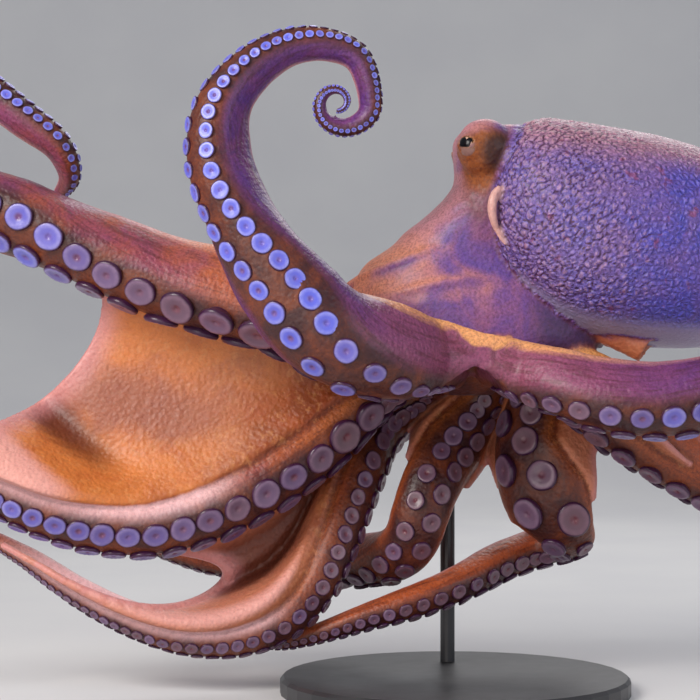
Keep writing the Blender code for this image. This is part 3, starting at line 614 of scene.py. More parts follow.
# ---------------------------------------------------------------- webs
# Between each arm and the next one round the crown: how far the web reaches along each
# of the two, how far its free edge is drawn in (0 to 1), how its middle billows, how
# thick its rim is, and its folds. A fold has a place across the web's free edge, from 0 at
# the first arm to 1 at the second, how far it moves across on its way to the crown, its
# half width, its push towards +Y and where along the web it begins.
WEBS = {
    ("L1", "L2"): {"reach": (75, 60), "drawn": 0.25, "billow": (0, 0, 6), "rim": 1.8},
    ("L3", "L4"): {"reach": (120, 110), "drawn": 0.3, "billow": (0, 0, 10), "rim": 1.9},
    ("L4", "R4"): {"reach": (85, 100), "drawn": 0.2, "billow": (4, 8, 0), "rim": 1.9},
    ("R4", "R3"): {"reach": (70, 80), "drawn": 0.2, "billow": (0, 10, 0), "rim": 1.8},
    ("R3", "R2"): {"reach": (85, 100), "drawn": 0.3, "billow": (0, 10, 0), "rim": 1.9},
    ("R2", "R1"): {"reach": (395, 212), "drawn": 0.36, "billow": (-4, 14, -6), "rim": 4.2,
                   "folds": [(0.13, 0.0, 0.13, -10, 0.4), (0.4, 0.1, 0.13, 13, 0.35),
                             (0.7, 0.0, 0.16, 7, 0.1)]},
    ("R1", "L1"): {"reach": (335, 200), "drawn": 0.15, "billow": (0, 26, 8), "rim": 1.7,
                   "folds": [(0.11, -0.3, 0.12, -14, 0.5), (0.29, -0.65, 0.1, 11, 0.5),
                             (0.6, -0.3, 0.18, -3, 0.3)]},
}
# this web's middle is darkened by painted shade
INNER_WEB = ("R1", "L1")    # the one whose inside is seen, darker across its middle
WEB_CORNER = 0.75      # under 1, a free edge runs on along the arms at its ends
WEB_HALF = 1.45        # half of a web's thickness
WEB_STUB = 4.0         # a web leaves an arm square to it for this far
WEB_START = -6.0       # its first row, from the crown
WEB_SUNK = -5.0        # its first and last columns lie this deep in the arms
WEB_ROWS = 90
WEB_COLUMNS = 40


def web_grid(arms, pair, spec):
    """The middle surface of a web as rows of points, from one arm to the other."""
    sides = [(arms[name], hand, reach)
             for name, hand, reach in zip(pair, (1, -1), spec["reach"])]
    grid = np.zeros((WEB_ROWS + 1, WEB_COLUMNS + 3, 3))
    for row in range(WEB_ROWS + 1):
        v = row / WEB_ROWS
        for column in range(WEB_COLUMNS + 1):
            u = column / WEB_COLUMNS
            swell = 4 * u * (1 - u)
            pulled = v * (1 - spec["drawn"] * swell ** WEB_CORNER)
            ends = [arm.edge(WEB_START + pulled * (reach - WEB_START), hand, WEB_STUB)
                    for arm, hand, reach in sides]
            push = np.array(spec["billow"], float) * swell * v
            push[1] += sum(fold_share(u, v, fold) * fold[3] for fold in spec.get("folds", []))
            grid[row, column + 1] = ends[0] * (1 - u) + ends[1] * u + push
        for column, (arm, hand, reach) in zip((0, -1), sides):
            grid[row, column] = arm.edge(WEB_START + v * (reach - WEB_START), hand,
                                         WEB_SUNK)
    return grid


def fold_share(across, along, fold):
    """How much a place on a web belongs to one of its folds, from 0 to 1."""
    place, drift, wide, _, begins = fold
    middle = place + drift * (1 - along)
    return np.exp(-((across - middle) / wide) ** 2) * ramp(along, begins, begins + 0.3)


def sheet_faces(rows, columns):
    """Faces of a thin solid: points by row, first those of its front, then of its rear."""
    rear = rows * columns
    faces = []
    for i in range(rows - 1):
        for k in range(columns - 1):
            first, second = i * columns + k, (i + 1) * columns + k
            faces.append((first, first + 1, second + 1, second))
            faces.append(tuple(rear + j for j in (first, second, second + 1, first + 1)))
    edge = list(range(columns)) + [i * columns + columns - 1 for i in range(1, rows)]
    edge += [(rows - 1) * columns + k for k in range(columns - 2, -1, -1)]
    edge += [i * columns for i in range(rows - 2, 0, -1)]
    for one, other in zip(edge, edge[1:] + edge[:1]):
        faces.append((other, one, rear + one, rear + other))
    return faces


def add_web(parts, arms, pair, spec):
    """A web as a thin solid, and the round rim of its free edge."""
    grid = web_grid(arms, pair, spec)
    rows, columns = grid.shape[:2]
    lengthwise, crosswise = np.gradient(grid, axis=(0, 1))
    normals = np.cross(lengthwise, crosswise)
    normals /= np.maximum(np.linalg.norm(normals, axis=2, keepdims=True), 1e-9)
    front, rear = grid + WEB_HALF * normals, grid - WEB_HALF * normals
    verts = np.vstack([front.reshape(-1, 3), rear.reshape(-1, 3)])
    share = np.repeat(np.linspace(0, 1, rows), columns)
    across = np.tile(np.linspace(0, 1, columns), rows)
    # each fold's push, which the material paints as highlight where the web rolls towards -Y and
    # as shade where it sinks towards +Y
    fold = sum((fold_share(across, share, fold) * -0.1 * fold[3]
                for fold in spec.get("folds", [])), np.zeros(len(share)))
    parts.add((verts, sheet_faces(rows, columns)), web=1, along=np.r_[share, share],
              up=np.r_[across, across], rim=np.tile(ramp(share, 0.93, 1.0), 2),
              fold=np.r_[fold, fold], inner=pair == INNER_WEB)
    path = grid[-1, 1:-1]
    ends = np.sin(np.linspace(0.2, math.pi - 0.2, len(path))) ** 0.4
    parts.add(rope(path, spec["rim"] * ends), web=1, along=1, rim=1, up=0.5)


BRIDGE_ROWS = np.linspace(4, 44, 17)    # along L2 and L3, from the crown
BRIDGE_SINK = -3.0      # how far its sides stand clear of the two arms
BRIDGE_HOLLOW = 19.0    # how far the middle of its underside lies above the suckers' line


def add_bridge(parts, arms):
    """The thick flesh between the bases of L2 and L3, which meet as one band."""
    rings = []
    for distance in BRIDGE_ROWS:
        left = arms["L2"].flank(distance, 1, BRIDGE_SINK)
        right = arms["L3"].flank(distance, -1, BRIDGE_SINK)
        top = (left[-1] + right[-1]) / 2
        under = (left[0] + right[0]) / 2 + np.array([0, 0, BRIDGE_HOLLOW])
        rings.append(left + [top] + right[::-1] + [under])
    fine = [smooth_path(ring + ring[:1], 4)[:-1] for ring in rings]
    shape = tube(fine)
    height = np.array(shape[0])[:, 2]
    # the back, set by height, gives a painted highlight along the top of the band
    parts.add(shape, arm=1, back=ramp(height, 200, 216), along=0.1, girth=0.8,
              oral=1 - ramp(height, 186, 196), violet=0.2)


# ---------------------------------------------------------------- mantle, head, funnel
# Sections across the mantle: x, top z, bottom z and half of its width.
MANTLE_SECTIONS = [(21, 300, 274, 28), (26, 318, 256, 41), (36, 336, 239, 50),
                   (52, 342, 224, 57), (74, 340, 213, 61), (100, 336, 208, 63),
                   (126, 331, 206, 61), (150, 323, 207, 56), (174, 310, 212, 47),
                   (194, 294, 224, 34), (206, 279, 240, 20)]
MANTLE_SHIFT = -5.0    # the mantle's middle lies this far towards -Y

# Level sections of the head: z, smallest x, largest x and half of its width.
HEAD_SECTIONS = [(206, -50, 88, 43), (214, -54, 90, 44), (232, -62, 88, 42), (246, -60, 84, 37),
                 (257, -53, 80, 34), (266, -39, 76, 33), (276, -29, 73, 33), (285, -18, 70, 33),
                 (295, -7, 66, 33), (305, -1, 62, 34), (316, -1, 56, 36), (329, -1, 50, 35),
                 (337, 5, 44, 28)]
BODY_SIDES = 72
MANTLE_POWER = 2.25     # how square its sections are; 2 is an ellipse
HEAD_POWER = 2.2
# The bulge round an eye: its middle, as x, distance from the middle plane and z, and its
# half sizes.
EYE_BULGE = (16.5, 26, 323.5)
EYE_BULGE_SIZE = (17, 15, 17)
# Where the head runs on into the mantle: middles (x, y, z) and half sizes.
NAPE = [((32, -2, 317), (20, 33, 23)), ((32, -25, 314), (13, 15, 21)),
        ((32, 25, 314), (13, 15, 21))]
EYE = (8.2, 34, 324)    # middle of an eyeball, measured like a bulge's
EYE_RADIUS = 8.0
FUNNEL = [((62, -8, 230), 13), ((79, -15, 224), 12), ((96, -21, 216), 11),
          ((112, -25, 206), 9)]


def superellipse(power):
    """Points round a rounded oval of half sizes 1, as (across, up) pairs."""
    return [tuple(math.copysign(abs(part) ** (2 / power), part)
                  for part in (math.cos(turn), math.sin(turn))) for turn in angles(BODY_SIDES)]


def finer(sections, count):
    """A table of sections with smooth steps between its rows."""
    table = np.array(sections, float)
    spots = np.linspace(0, len(table) - 1, count)
    rows = np.arange(len(table))
    padded = np.vstack([2 * table[0] - table[1], table, 2 * table[-1] - table[-2]])
    out = []
    for spot in spots:
        i = min(int(spot), len(rows) - 2)
        t = spot - i
        a, b, c, d = padded[i:i + 4]
        out.append(0.5 * (2 * b + (c - a) * t + (2 * a - 5 * b + 4 * c - d) * t * t
                          + (3 * b - a - 3 * c + d) * t ** 3))
    return out


def add_mantle(parts):
    """The mantle, with how high each of its points lies on it."""
    oval = superellipse(MANTLE_POWER)
    rings = [[(x, MANTLE_SHIFT + across * half, (top + bottom) / 2 + up * (top - bottom) / 2)
              for across, up in oval] for x, top, bottom, half in finer(MANTLE_SECTIONS, 70)]
    level = np.r_[np.tile([up for _, up in oval], len(rings)), 0, 0]
    parts.add(tube(rings), mantle=1, up=level)


def add_head(parts):
    """The head, the bulges round its eyes and the nape that joins it to the mantle."""
    oval = superellipse(HEAD_POWER)
    rings = [[((left + right) / 2 + across * (right - left) / 2, up * half, z)
              for across, up in oval] for z, left, right, half in finer(HEAD_SECTIONS, 60)]
    parts.add(tube(rings), head=1)
    x, y, z = EYE_BULGE
    bulges = [((x, hand * y, z), EYE_BULGE_SIZE) for hand in (-1, 1)]
    for middle, size in bulges + NAPE:
        parts.add(tube(ball_rings(middle, size)), head=1)


def ball_rings(centre, sizes, levels=24, sides=40):
    """An ellipsoid as level rings."""
    rings = []
    for i in range(1, levels):
        tilt = math.pi * i / levels
        rings.append([(centre[0] + sizes[0] * math.sin(tilt) * math.cos(turn),
                       centre[1] + sizes[1] * math.sin(tilt) * math.sin(turn),
                       centre[2] - sizes[2] * math.cos(tilt))
                      for turn in angles(sides)])
    return rings


def half_width(sections, power, place, across):
    """Half of a body's width at a place, and at a spot between the section's two edges."""
    places, ones, others, halves = (np.array(c, float) for c in zip(*sections))
    one, other, half = (np.interp(place, places, c) for c in (ones, others, halves))
    share = min(abs(across - (one + other) / 2) / abs((one - other) / 2), 0.999)
    return half * (1 - share ** power) ** (1 / power)


# Folds on each side of the head: points (x, z) along them and their radius.
HEAD_FOLDS = [([(-72, 238), (-58, 247), (-40, 254), (-18, 262), (2, 268)], 3.2),
              ([(-62, 229), (-38, 237), (-12, 243), (12, 246), (34, 243)], 2.6),
              ([(-8, 284), (2, 290), (12, 296)], 1.8),
              ([(-12, 276), (0, 282), (12, 290)], 1.5),
              ([(8, 303), (14, 306), (20, 306)], 1.3)]


def add_folds(parts):
    """Low folds on both sides of the head, half sunk in it."""
    for hand in (-1, 1):
        for spots, radius in HEAD_FOLDS:
            path = smooth_path([(x, 0, z) for x, z in spots], 10)
            sunk = np.linspace(-1, 1, len(path)) ** 2
            path = np.array([(x, hand * (half_width(HEAD_SECTIONS, HEAD_POWER, z, x)
                                         - (0.45 + 0.6 * s) * radius), z)
                             for (x, _, z), s in zip(path, sunk)])
            parts.add(rope(path, radius * (1 - 0.55 * sunk), 12), head=1)


# The free edge of the mantle on each side of the head: (x, z) along it, and its radius.
MANTLE_LIP = [(24, 300), (20.8, 295), (19.2, 288), (20.2, 280), (23.6, 271.5), (28, 263)]
LIP_RADIUS = 3.0
LIP_FRONT = 22.0       # it follows the mantle's width no further forward than this x
LIP_NEAREST = 35.0


def lip_side(x, z):
    """How far the lip lies from the mantle's middle plane."""
    inside = max(x, LIP_FRONT) + 4
    return max(half_width(MANTLE_SECTIONS, MANTLE_POWER, inside, z), LIP_NEAREST)


def add_lip(parts):
    """The mantle's thick free edge on both sides of the head."""
    for hand in (-1, 1):
        path = smooth_path([(x, 0, z) for x, z in MANTLE_LIP], 10)
        path = np.array([(x, MANTLE_SHIFT + hand * lip_side(x, z), z) for x, _, z in path])
        ends = np.sin(math.pi * np.linspace(0.12, 0.97, len(path)) ** 0.8)
        parts.add(rope(path, LIP_RADIUS * ends, 12), mantle=1, rim=1, up=-0.3)


def add_funnel(parts):
    """The funnel, open at its far end."""
    middles = np.array([p for p, _ in FUNNEL], float)
    radii = [r for _, r in FUNNEL]
    rows = range(len(FUNNEL))
    spots = np.linspace(0, rows[-1], 16)
    path = Arm.sample(spots, rows, middles)
    sizes = np.interp(spots, rows, radii)
    way = unit(path[-1] - path[-2])
    path = np.vstack([path, path[-1] - 0.5 * way, path[-1] - 3 * way, path[-1] - 8 * way])
    sizes = np.r_[sizes, sizes[-1] - 2.2, sizes[-1] - 2.6, sizes[-1] - 4]
    across = unit(np.cross(way, (0, 1, 0)))
    up = np.cross(way, across)
    rings = [circle(middle, across, up, size, 32) for middle, size in zip(path, sizes)]
    parts.add(tube(rings), web=1, along=0.6, up=0.5)


def add_crown(parts):
    """The ring of flesh that the arms grow from."""
    across, ahead = np.eye(3)[:2]
    rings = [circle(np.array([CROWN[0], CROWN[1], z]), across, ahead, radius, 40)
             for z, radius in finer(CROWN_SECTIONS, 12)]
    parts.add(tube(rings), arm=1, oral=1, along=0, girth=0.6)


# ---------------------------------------------------------------- the skin
class Surface:
    """A mesh's points, normals and neighbours as arrays, for smoothing over them."""

    def __init__(self, mesh):
        self.mesh = mesh
        count = len(mesh.vertices)
        self.points = np.empty(count * 3)
        mesh.vertices.foreach_get("co", self.points)
        self.points = self.points.reshape(-1, 3) / MM
        edges = np.empty(len(mesh.edges) * 2, np.int64)
        mesh.edges.foreach_get("vertices", edges)
        edges = edges.reshape(-1, 2)
        self.one = np.r_[edges[:, 0], edges[:, 1]]
        self.other = np.r_[edges[:, 1], edges[:, 0]]
        self.degree = np.maximum(np.bincount(self.one, minlength=count), 1)
        self.update()

    def update(self):
        """Writes the points back and reads the normals."""
        self.mesh.vertices.foreach_set("co", (self.points * MM).ravel())
        self.mesh.update()
        normals = np.empty(len(self.points) * 3, np.float32)
        self.mesh.vertex_normals.foreach_get("vector", normals)
        self.normals = normals.reshape(-1, 3).astype(float)

    def mean(self, values):
        """Each point's value, averaged over its neighbours."""
        values = np.asarray(values, float)
        if values.ndim == 1:
            sums = np.bincount(self.one, values[self.other], len(values))
            return sums / self.degree
        return np.stack([self.mean(column) for column in values.T], 1)

    def smooth(self, values, times):
        """Values averaged with their neighbours' a number of times."""
        for _ in range(times):
            values = values + 0.5 * (self.mean(values) - values)
        return values

    def spread(self, values, distance):
        """Values smoothed over about a distance, in millimetres."""
        return self.smooth(values, int(distance / VOXEL))

    def relax(self, weight, distance, share):
        """Evens out the surface where it has a weight."""
        for _ in range(int(distance / VOXEL)):
            self.points += share * weight[:, None] * (self.mean(self.points) - self.points)
        self.update()

    def hollow(self, smoothed):
        """How far the surface lies below a smoother copy of itself."""
        return ((smoothed - self.points) * self.normals).sum(1)


def gather_flesh(arms):
    """Every part of the flesh, overlapping, as one set of closed meshes."""
    parts = Parts()
    curve = section_curve()
    for name, arm in arms.items():
        add_arm(parts, name, arm, curve)
    for pair, spec in WEBS.items():
        add_web(parts, arms, pair, spec)
    add_bridge(parts, arms)
    add_crown(parts)
    add_mantle(parts)
    add_head(parts)
    add_folds(parts)
    add_lip(parts)
    add_funnel(parts)
    return parts


def merged(parts):
    """One closed mesh round all the parts."""
    rough = show("flesh_parts", parts.mesh("flesh_parts"))
    remesh = rough.modifiers.new("merge", "REMESH")
    remesh.mode = "VOXEL"
    remesh.voxel_size = VOXEL * MM
    remesh.use_smooth_shade = True
    even = rough.modifiers.new("even", "SMOOTH")
    even.factor = 0.5
    even.iterations = 4
    depsgraph = bpy.context.evaluated_depsgraph_get()
    mesh = bpy.data.meshes.new_from_object(rough.evaluated_get(depsgraph))
    bpy.data.objects.remove(rough)
    return mesh


def nearest_known(parts, points):
    """What is known at the nearest point of the parts, for each point of the skin."""
    source = np.vstack(parts.verts)
    known = np.vstack(parts.known)
    tree = KDTree(len(source))
    for i, point in enumerate(source):
        tree.insert(point, i)
    tree.balance()
    found = np.array([tree.find(point)[1] for point in points])
    return {name: known[found, i] for i, name in enumerate(Parts.CHANNELS)}


def soften_joins(surface, known):
    """Fills the sharp corners where the parts of the flesh meet, but not the mantle's."""
    hollow = surface.hollow(surface.spread(surface.points, 14))
    nape = ramp(surface.points[:, 2], 298, 312)
    webbed = ramp(surface.spread(known["web"], 10), 0.02, 0.2)
    keep = known["mantle"] * (1 - nape)
    keep += 0.9 * ramp(surface.spread(known["rim"], 6), 0.05, 0.4)
    keep += 0.8 * known["arm"] * (known["along"] > 0.3) * (1 - webbed)
    weight = surface.smooth(ramp(hollow, 0.25, 1.2) * np.clip(1 - keep, 0, 1), 4)
    surface.relax(weight, 45, 0.6)


def pebbles(points, size, seed):
    """Rounded pebbles of a size: 1 on top, 0 in the creases between them."""
    shift = Vector((seed, 2.3 * seed, 0.7 * seed))
    heights = np.empty(len(points))
    for i, point in enumerate(points):
        spot = Vector(point) / size + shift
        near, far = noise.voronoi(spot + 0.3 * noise.noise_vector(spot))[0][:2]
        heights[i] = far - near
    return ramp(heights, -0.1, 0.6)


def swells(points, size, seed):
    """Soft noise of a size, from -1 to 1."""
    shift = Vector((seed, 1.7 * seed, 3.1 * seed))
    return np.array([noise.noise(Vector(point) / size + shift) for point in points])


def raise_where(surface, height, make, size, seed):
    """Lifts the skin by up to height, in millimetres at each point, in a pattern."""
    some = height > 0.04
    lift = np.zeros(len(height))
    lift[some] = height[some] * make(surface.points[some], size, seed)
    surface.points += lift[:, None] * surface.normals
    return lift


GAZE = (-0.62, 0.78, 0.05)     # the way an eye looks: x, away from the middle plane, z
LID_REACH = 22.0               # skin further than this from an eye is left alone
LID_WIDE, LID_TALL = 0.62, 0.46    # half of the opening, as tangents of its angles
LID_RADIUS = 8.6
LID_COVER = 8.5                # the skin is nowhere nearer to the middle of the eyeball
LID_BLEND = 0.9                # how softly that bulge runs out into the head
LID_RISE = 0.1                 # how far above the line of sight the opening lies


def eye_axes(hand):
    centre = np.array([EYE[0], hand * EYE[1], EYE[2]], float)
    gaze = unit(np.array([GAZE[0], hand * GAZE[1], GAZE[2]]))
    level = unit(np.cross(gaze, (0.12, 0, 1.0)))
    return centre, gaze, level, np.cross(level, gaze)


def open_eyes(surface):
    """Opens the skin over each eye between two lids, and says where lids and bags lie."""
    lids, bags = np.zeros((2, len(surface.points)))
    for hand in (-1, 1):
        centre, gaze, level, upright = eye_axes(hand)
        away = surface.points - centre
        distance = np.linalg.norm(away, axis=1)
        ahead = (away @ gaze) / np.maximum(distance, 1e-6)
        near = (distance < LID_REACH) & (ahead > 0.05)
        distance, ahead = distance[near], ahead[near]
        way = away[near] / distance[:, None]
        u, v = (way @ level) / ahead, (way @ upright) / ahead - LID_RISE
        oval = np.sqrt((u / LID_WIDE) ** 2 + (v / LID_TALL) ** 2)
        upper = ramp(v, -0.05, 0.3)
        inside = EYE_RADIUS - 1.6
        target = inside + (LID_RADIUS + 0.9 * upper - inside) * ramp(oval, 0.9, 1.05)
        weight = 1 - ramp(oval, 1.25, 2.3)
        radius = distance * (1 - weight) + target * weight
        cover = LID_COVER * ramp(ahead, 0.0, 0.35) * (oval > 1)
        blended = LID_BLEND * np.logaddexp(radius / LID_BLEND, cover / LID_BLEND)
        radius = np.where(oval > 1, blended, radius)
        surface.points[near] = centre + way * radius[:, None]
        lids[near] = np.maximum(lids[near], (1 - ramp(oval, 1.3, 2.0)) * upper)
        bag = (1 - ramp(oval, 1.3, 2.4)) * (1 - upper) * ramp(-u, -0.5, 0.1)
        bags[near] = np.maximum(bags[near], bag)
        rest = np.zeros(len(surface.points))
        rest[near] = (oval > 1.2) * (1 - ramp(distance, 12, 19))
        surface.relax(rest, 16, 0.5)
    return lids, bags


def add_collar(surface, masks):
    """Counts the collar behind the eyes as mantle, and says which points are collar."""
    x, _, z = surface.points.T
    collar = masks["head"] * ramp(x - 0.36 * (z - 308), 20, 28) * ramp(z, 292, 304)
    masks["mantle"] += collar
    masks["head"] -= collar
    masks["up"] += collar * (0.6 - masks["up"])
    return collar


def raise_relief(surface, masks):
    """Pebbles on the mantle, the nape, the cheeks and the webs, and swells elsewhere."""
    x, _, z = surface.points.T
    mantle, head, web = (masks[name] for name in ("mantle", "head", "web"))
    front = 1 - ramp(x, 60, 130)
    rough = mantle * ramp(masks["up"], -0.88, -0.7) * (1 - masks["rim"])
    nape = head * lump(np.c_[x, z], (26, 316), (18, 14))
    cheek = head * lump(np.c_[x, z], (14, 294), (12, 18))
    patch = web * lump(np.c_[masks["along"], masks["up"]], (0.72, 0.45), (0.2, 0.28))
    skin = (masks["arm"] + web) * (1 - masks["oral"]) * np.clip(masks["girth"] * 1.4, 0, 1)
    masks["front"] = mantle * front
    masks["belly"] = mantle - rough
    masks["cheek"] = cheek
    relief = [((0.15 + 0.75 * front) * rough + 0.4 * nape, pebbles, 4.0),
              ((0.3 + 0.3 * front) * rough + 0.3 * nape, pebbles, 8.5),
              (0.6 * np.clip(cheek + patch, 0, 1), pebbles, 3.6),
              (0.7 * skin + 0.6 * head, swells, 22.0),
              (0.25 * skin + 0.2 * head, swells, 7.0)]
    for seed, (height, make, size) in enumerate(relief, 1):
        raise_where(surface, height, make, size, seed)
    surface.update()


def add_shades(surface, masks, collar):
    """Where the skin is painted darker or paler: painted shade in creases, hollows and under the
    mantle, painted highlight on ridges and where the head faces up and to the left, the patches
    by the eyes with painted shadow behind them, and the top of the mantle.
    """
    head = masks["head"]
    x, y, z = surface.points.T
    # how deep each crease is: painted shade in creases, painted highlight on fine ridges of the
    # mantle
    masks["crease"] = surface.hollow(surface.smooth(surface.points, 3))
    # how far the skin lies low: painted shade in hollows, painted highlight on ridges
    hollow = surface.hollow(surface.spread(surface.points, 16))
    masks["hollow"] = surface.spread(hollow, 10)
    sides = np.c_[x, np.abs(y), z]
    masks["patch"] = (head + collar) * lump(sides, (17, 34, 317), (20, 20, 17))
    # dark brown behind each eye, partly the patch's own colour and partly painted shadow in the
    # crease towards the mantle
    masks["shade"] = (head + collar) * lump(sides, (24, 34, 321), (12, 20, 13))
    # painted shadow on the head under the mantle
    masks["under"] = head * ramp(x, 25, 65) * (1 - ramp(z, 240, 272))
    masks["slope"] = 1 - ramp(z, 250, 290)
    # painted highlight on the head where it faces up and to the left
    highlight_up_left = ramp(surface.normals @ unit(np.array([-0.6, 0, 0.8])), 0.0, 0.85)
    masks["highlight_up_left"] = head * surface.spread(highlight_up_left, 20)
    masks["crown_of_mantle"] = masks["mantle"] * ramp(masks["up"], 0.35, 0.95)


def dress_skin(mesh, parts):
    """Shapes the skin's folds and papillae, and keeps what its material reads."""
    surface = Surface(mesh)
    known = nearest_known(parts, surface.points)
    soften_joins(surface, known)
    masks = {name: surface.spread(values, 8) for name, values in known.items()}
    masks["webbed"] = surface.spread(known["web"], 110)
    collar = add_collar(surface, masks)
    raise_relief(surface, masks)
    masks["lids"], masks["bags"] = open_eyes(surface)
    add_shades(surface, masks, collar)
    for name, values in masks.items():
        store(mesh, name, values)
    mesh.update()
    mesh.shade_smooth()


# ---------------------------------------------------------------- materials
class Look:
    """A material made of nodes, with a short call for each kind of node. Where a value is
    asked for, the name of a mask stands for the number kept at each point of the mesh."""

    def __init__(self, name):
        self.material = bpy.data.materials.new(name)
        self.material.use_nodes = True
        self.tree = self.material.node_tree
        self.shader = self.tree.nodes["Principled BSDF"]

    def node(self, kind, inputs, **settings):
        """A new node; its inputs go by name or by number."""
        made = self.tree.nodes.new("ShaderNode" + kind)
        for key, value in settings.items():
            setattr(made, key, value)
        for key, value in inputs.items():
            self.set(made.inputs[key], value)
        return made

    def set(self, socket, value):
        if isinstance(value, str):
            value = self.node("Attribute", {}, attribute_name=value).outputs["Fac"]
        if isinstance(value, bpy.types.NodeSocket):
            self.tree.links.new(value, socket)
        elif socket.type == "RGBA":
            socket.default_value = (*value, 1.0)
        else:
            socket.default_value = value

    def mix(self, share, under, over, blend="MIX"):
        """A share of one colour over another."""
        return self.node("Mix", {0: share, 6: under, 7: over}, data_type="RGBA",
                         blend_type=blend, clamp_factor=True).outputs[2]

    def maths(self, operation, one, other):
        return self.node("Math", {0: one, 1: other}, operation=operation).outputs[0]

    def times(self, one, other):
        return self.maths("MULTIPLY", one, other)

    def waver(self, value, unrest, share):
        """A value pushed up and down by a share of a noise, which lies round 0.5."""
        return self.maths("ADD", value, self.times(self.maths("ADD", unrest, -0.5), share))

    def step(self, value, low, high, start=0.0, end=1.0):
        """A smooth step of a value, from start at low to end at high."""
        return self.node("MapRange", {"Value": value, "From Min": low, "From Max": high,
                                      "To Min": start, "To Max": end},
                         interpolation_type="SMOOTHSTEP").outputs["Result"]

    def layer(self, under, over, value, low, high, start=0.0, end=1.0):
        """A colour over another one, by a smooth step of a value."""
        return self.mix(self.step(value, low, high, start, end), under, over)

    def place(self):
        return self.node("TexCoord", {}).outputs["Object"]

    def vector(self, operation, one, other):
        """Sum or difference of two vectors, or one vector made longer or shorter."""
        second = "Scale" if operation == "SCALE" else 1
        return self.node("VectorMath", {0: one, second: other}, operation=operation).outputs[0]

    def warped(self, size, reach):
        """The place, pushed about by up to a reach, by noise of a size, in millimetres."""
        drift = self.node("TexNoise", {"Vector": self.place(), "Scale": 1000 / size})
        drift = self.vector("SUBTRACT", drift.outputs["Color"], (0.5, 0.5, 0.5))
        return self.vector("ADD", self.place(), self.vector("SCALE", drift, reach * MM))

    def noise(self, size, detail, rough, vector=None, warp=0.0):
        """Noise with features of a size in millimetres."""
        return self.node("TexNoise", {"Vector": vector or self.place(), "Scale": 1000 / size,
                                      "Detail": detail, "Roughness": rough,
                                      "Distortion": warp}).outputs["Fac"]

    def cells(self, size, feature="F1", vector=None):
        """The distance to the middles or the edges of cells of a size in millimetres."""
        return self.node("TexVoronoi", {"Vector": vector or self.place(),
                                        "Scale": 1000 / size},
                         feature=feature).outputs["Distance"]

    def bump(self, height, distance, strength, normal=None):
        """A bump of a height map, with its distance in millimetres."""
        inputs = {"Height": height, "Distance": distance * MM, "Strength": strength}
        if normal is not None:
            inputs["Normal"] = normal
        return self.node("Bump", inputs).outputs["Normal"]

    def finish(self, colour, roughness, normal=None, **constants):
        """Gives the shader its inputs and returns the material."""
        inputs = {"Base Color": colour, "Roughness": roughness}
        if normal is not None:
            inputs["Normal"] = normal
        inputs.update((key.replace("_", " "), value) for key, value in constants.items())
        for key, value in inputs.items():
            self.set(self.shader.inputs[key], value)
        return self.material


# Colours, as shares of red, green and blue light.
MAUVE = (0.27, 0.062, 0.145)
VIOLET = (0.085, 0.026, 0.21)
RUST = (0.42, 0.085, 0.022)
PINK = (0.66, 0.27, 0.27)
RIDGE_HIGHLIGHT_CREAM = (0.95, 0.43, 0.15)
SIDE_HIGHLIGHT_PINK = (0.90, 0.54, 0.55)
ORAL_ORANGE = (0.20, 0.042, 0.011)
ORAL_BROWN = (0.045, 0.010, 0.010)
STREAK_BROWN = (0.07, 0.012, 0.006)
WEB_ORANGE = (0.66, 0.20, 0.045)
WEB_DEEP = (0.20, 0.032, 0.006)
WEB_PINK = (0.80, 0.38, 0.33)
WEB_TAN = (0.68, 0.29, 0.10)
WEB_SHADE = (0.11, 0.020, 0.008)
WEB_MIDDLE_SHADE = (0.24, 0.075, 0.065)
WEB_DUSK = (0.48, 0.19, 0.17)
MANTLE_BLUE = (0.085, 0.09, 0.58)
MANTLE_MAUVE = (0.21, 0.12, 0.46)
MANTLE_PINK = (0.52, 0.24, 0.34)
MANTLE_TAN_AND_HIGHLIGHT = (0.60, 0.34, 0.38)
MANTLE_BELLY = (0.34, 0.30, 0.48)
MANTLE_CREASE_SHADE = (0.045, 0.014, 0.09)
MANTLE_SPOT = (0.30, 0.05, 0.10)
LIP_CREAM = (0.66, 0.36, 0.32)
HEAD_VIOLET = (0.13, 0.06, 0.30)
HEAD_PURPLE = (0.26, 0.09, 0.24)
HEAD_SHADE = (0.05, 0.014, 0.06)
CHEEK_BROWN = (0.25, 0.085, 0.06)
HIGHLIGHT_PINK = (0.70, 0.27, 0.17)
HIGHLIGHT_MAUVE = (0.60, 0.26, 0.30)
EYE_BROWN_AND_SHADE = (0.050, 0.012, 0.004)
EYE_AMBER = (0.34, 0.095, 0.020)
LID_CREAM = (0.70, 0.40, 0.26)
BAG_GREY = (0.26, 0.16, 0.20)
GRAIN_DARK = (0.035, 0.010, 0.02)


def arm_colour(look, mottle, streak):
    """Mauve or rust sides, a back that is paler partly by its own colour and partly by painted
    highlight along its top, and a brown side under the suckers.
    """
    violet = look.times("violet", look.step(mottle, 0.3, 0.65, 0.45, 1))
    side = look.mix(violet, MAUVE, VIOLET)
    side = look.layer(side, RUST, look.waver("warm", mottle, 0.7), 0.25, 0.75)
    root = look.times(look.step("along", 0.06, 0.3, 0.75, 0),
                      look.step("warm", 0.0, 0.1, 0.15, 1))
    side = look.mix(root, side, WEB_ORANGE)
    side = look.mix(look.times(look.step(streak, 0.48, 0.62), 0.45), side, STREAK_BROWN)
    # painted highlight along the arm's back and top, cream near the crown and pink further out,
    # over the back's own paler colour
    back_highlight = look.layer(RIDGE_HIGHLIGHT_CREAM, PINK, "along", 0.1, 0.34)
    return look.layer(side, back_highlight, look.waver("back", streak, 0.8), 0.3, 1.0, 0, 0.85)


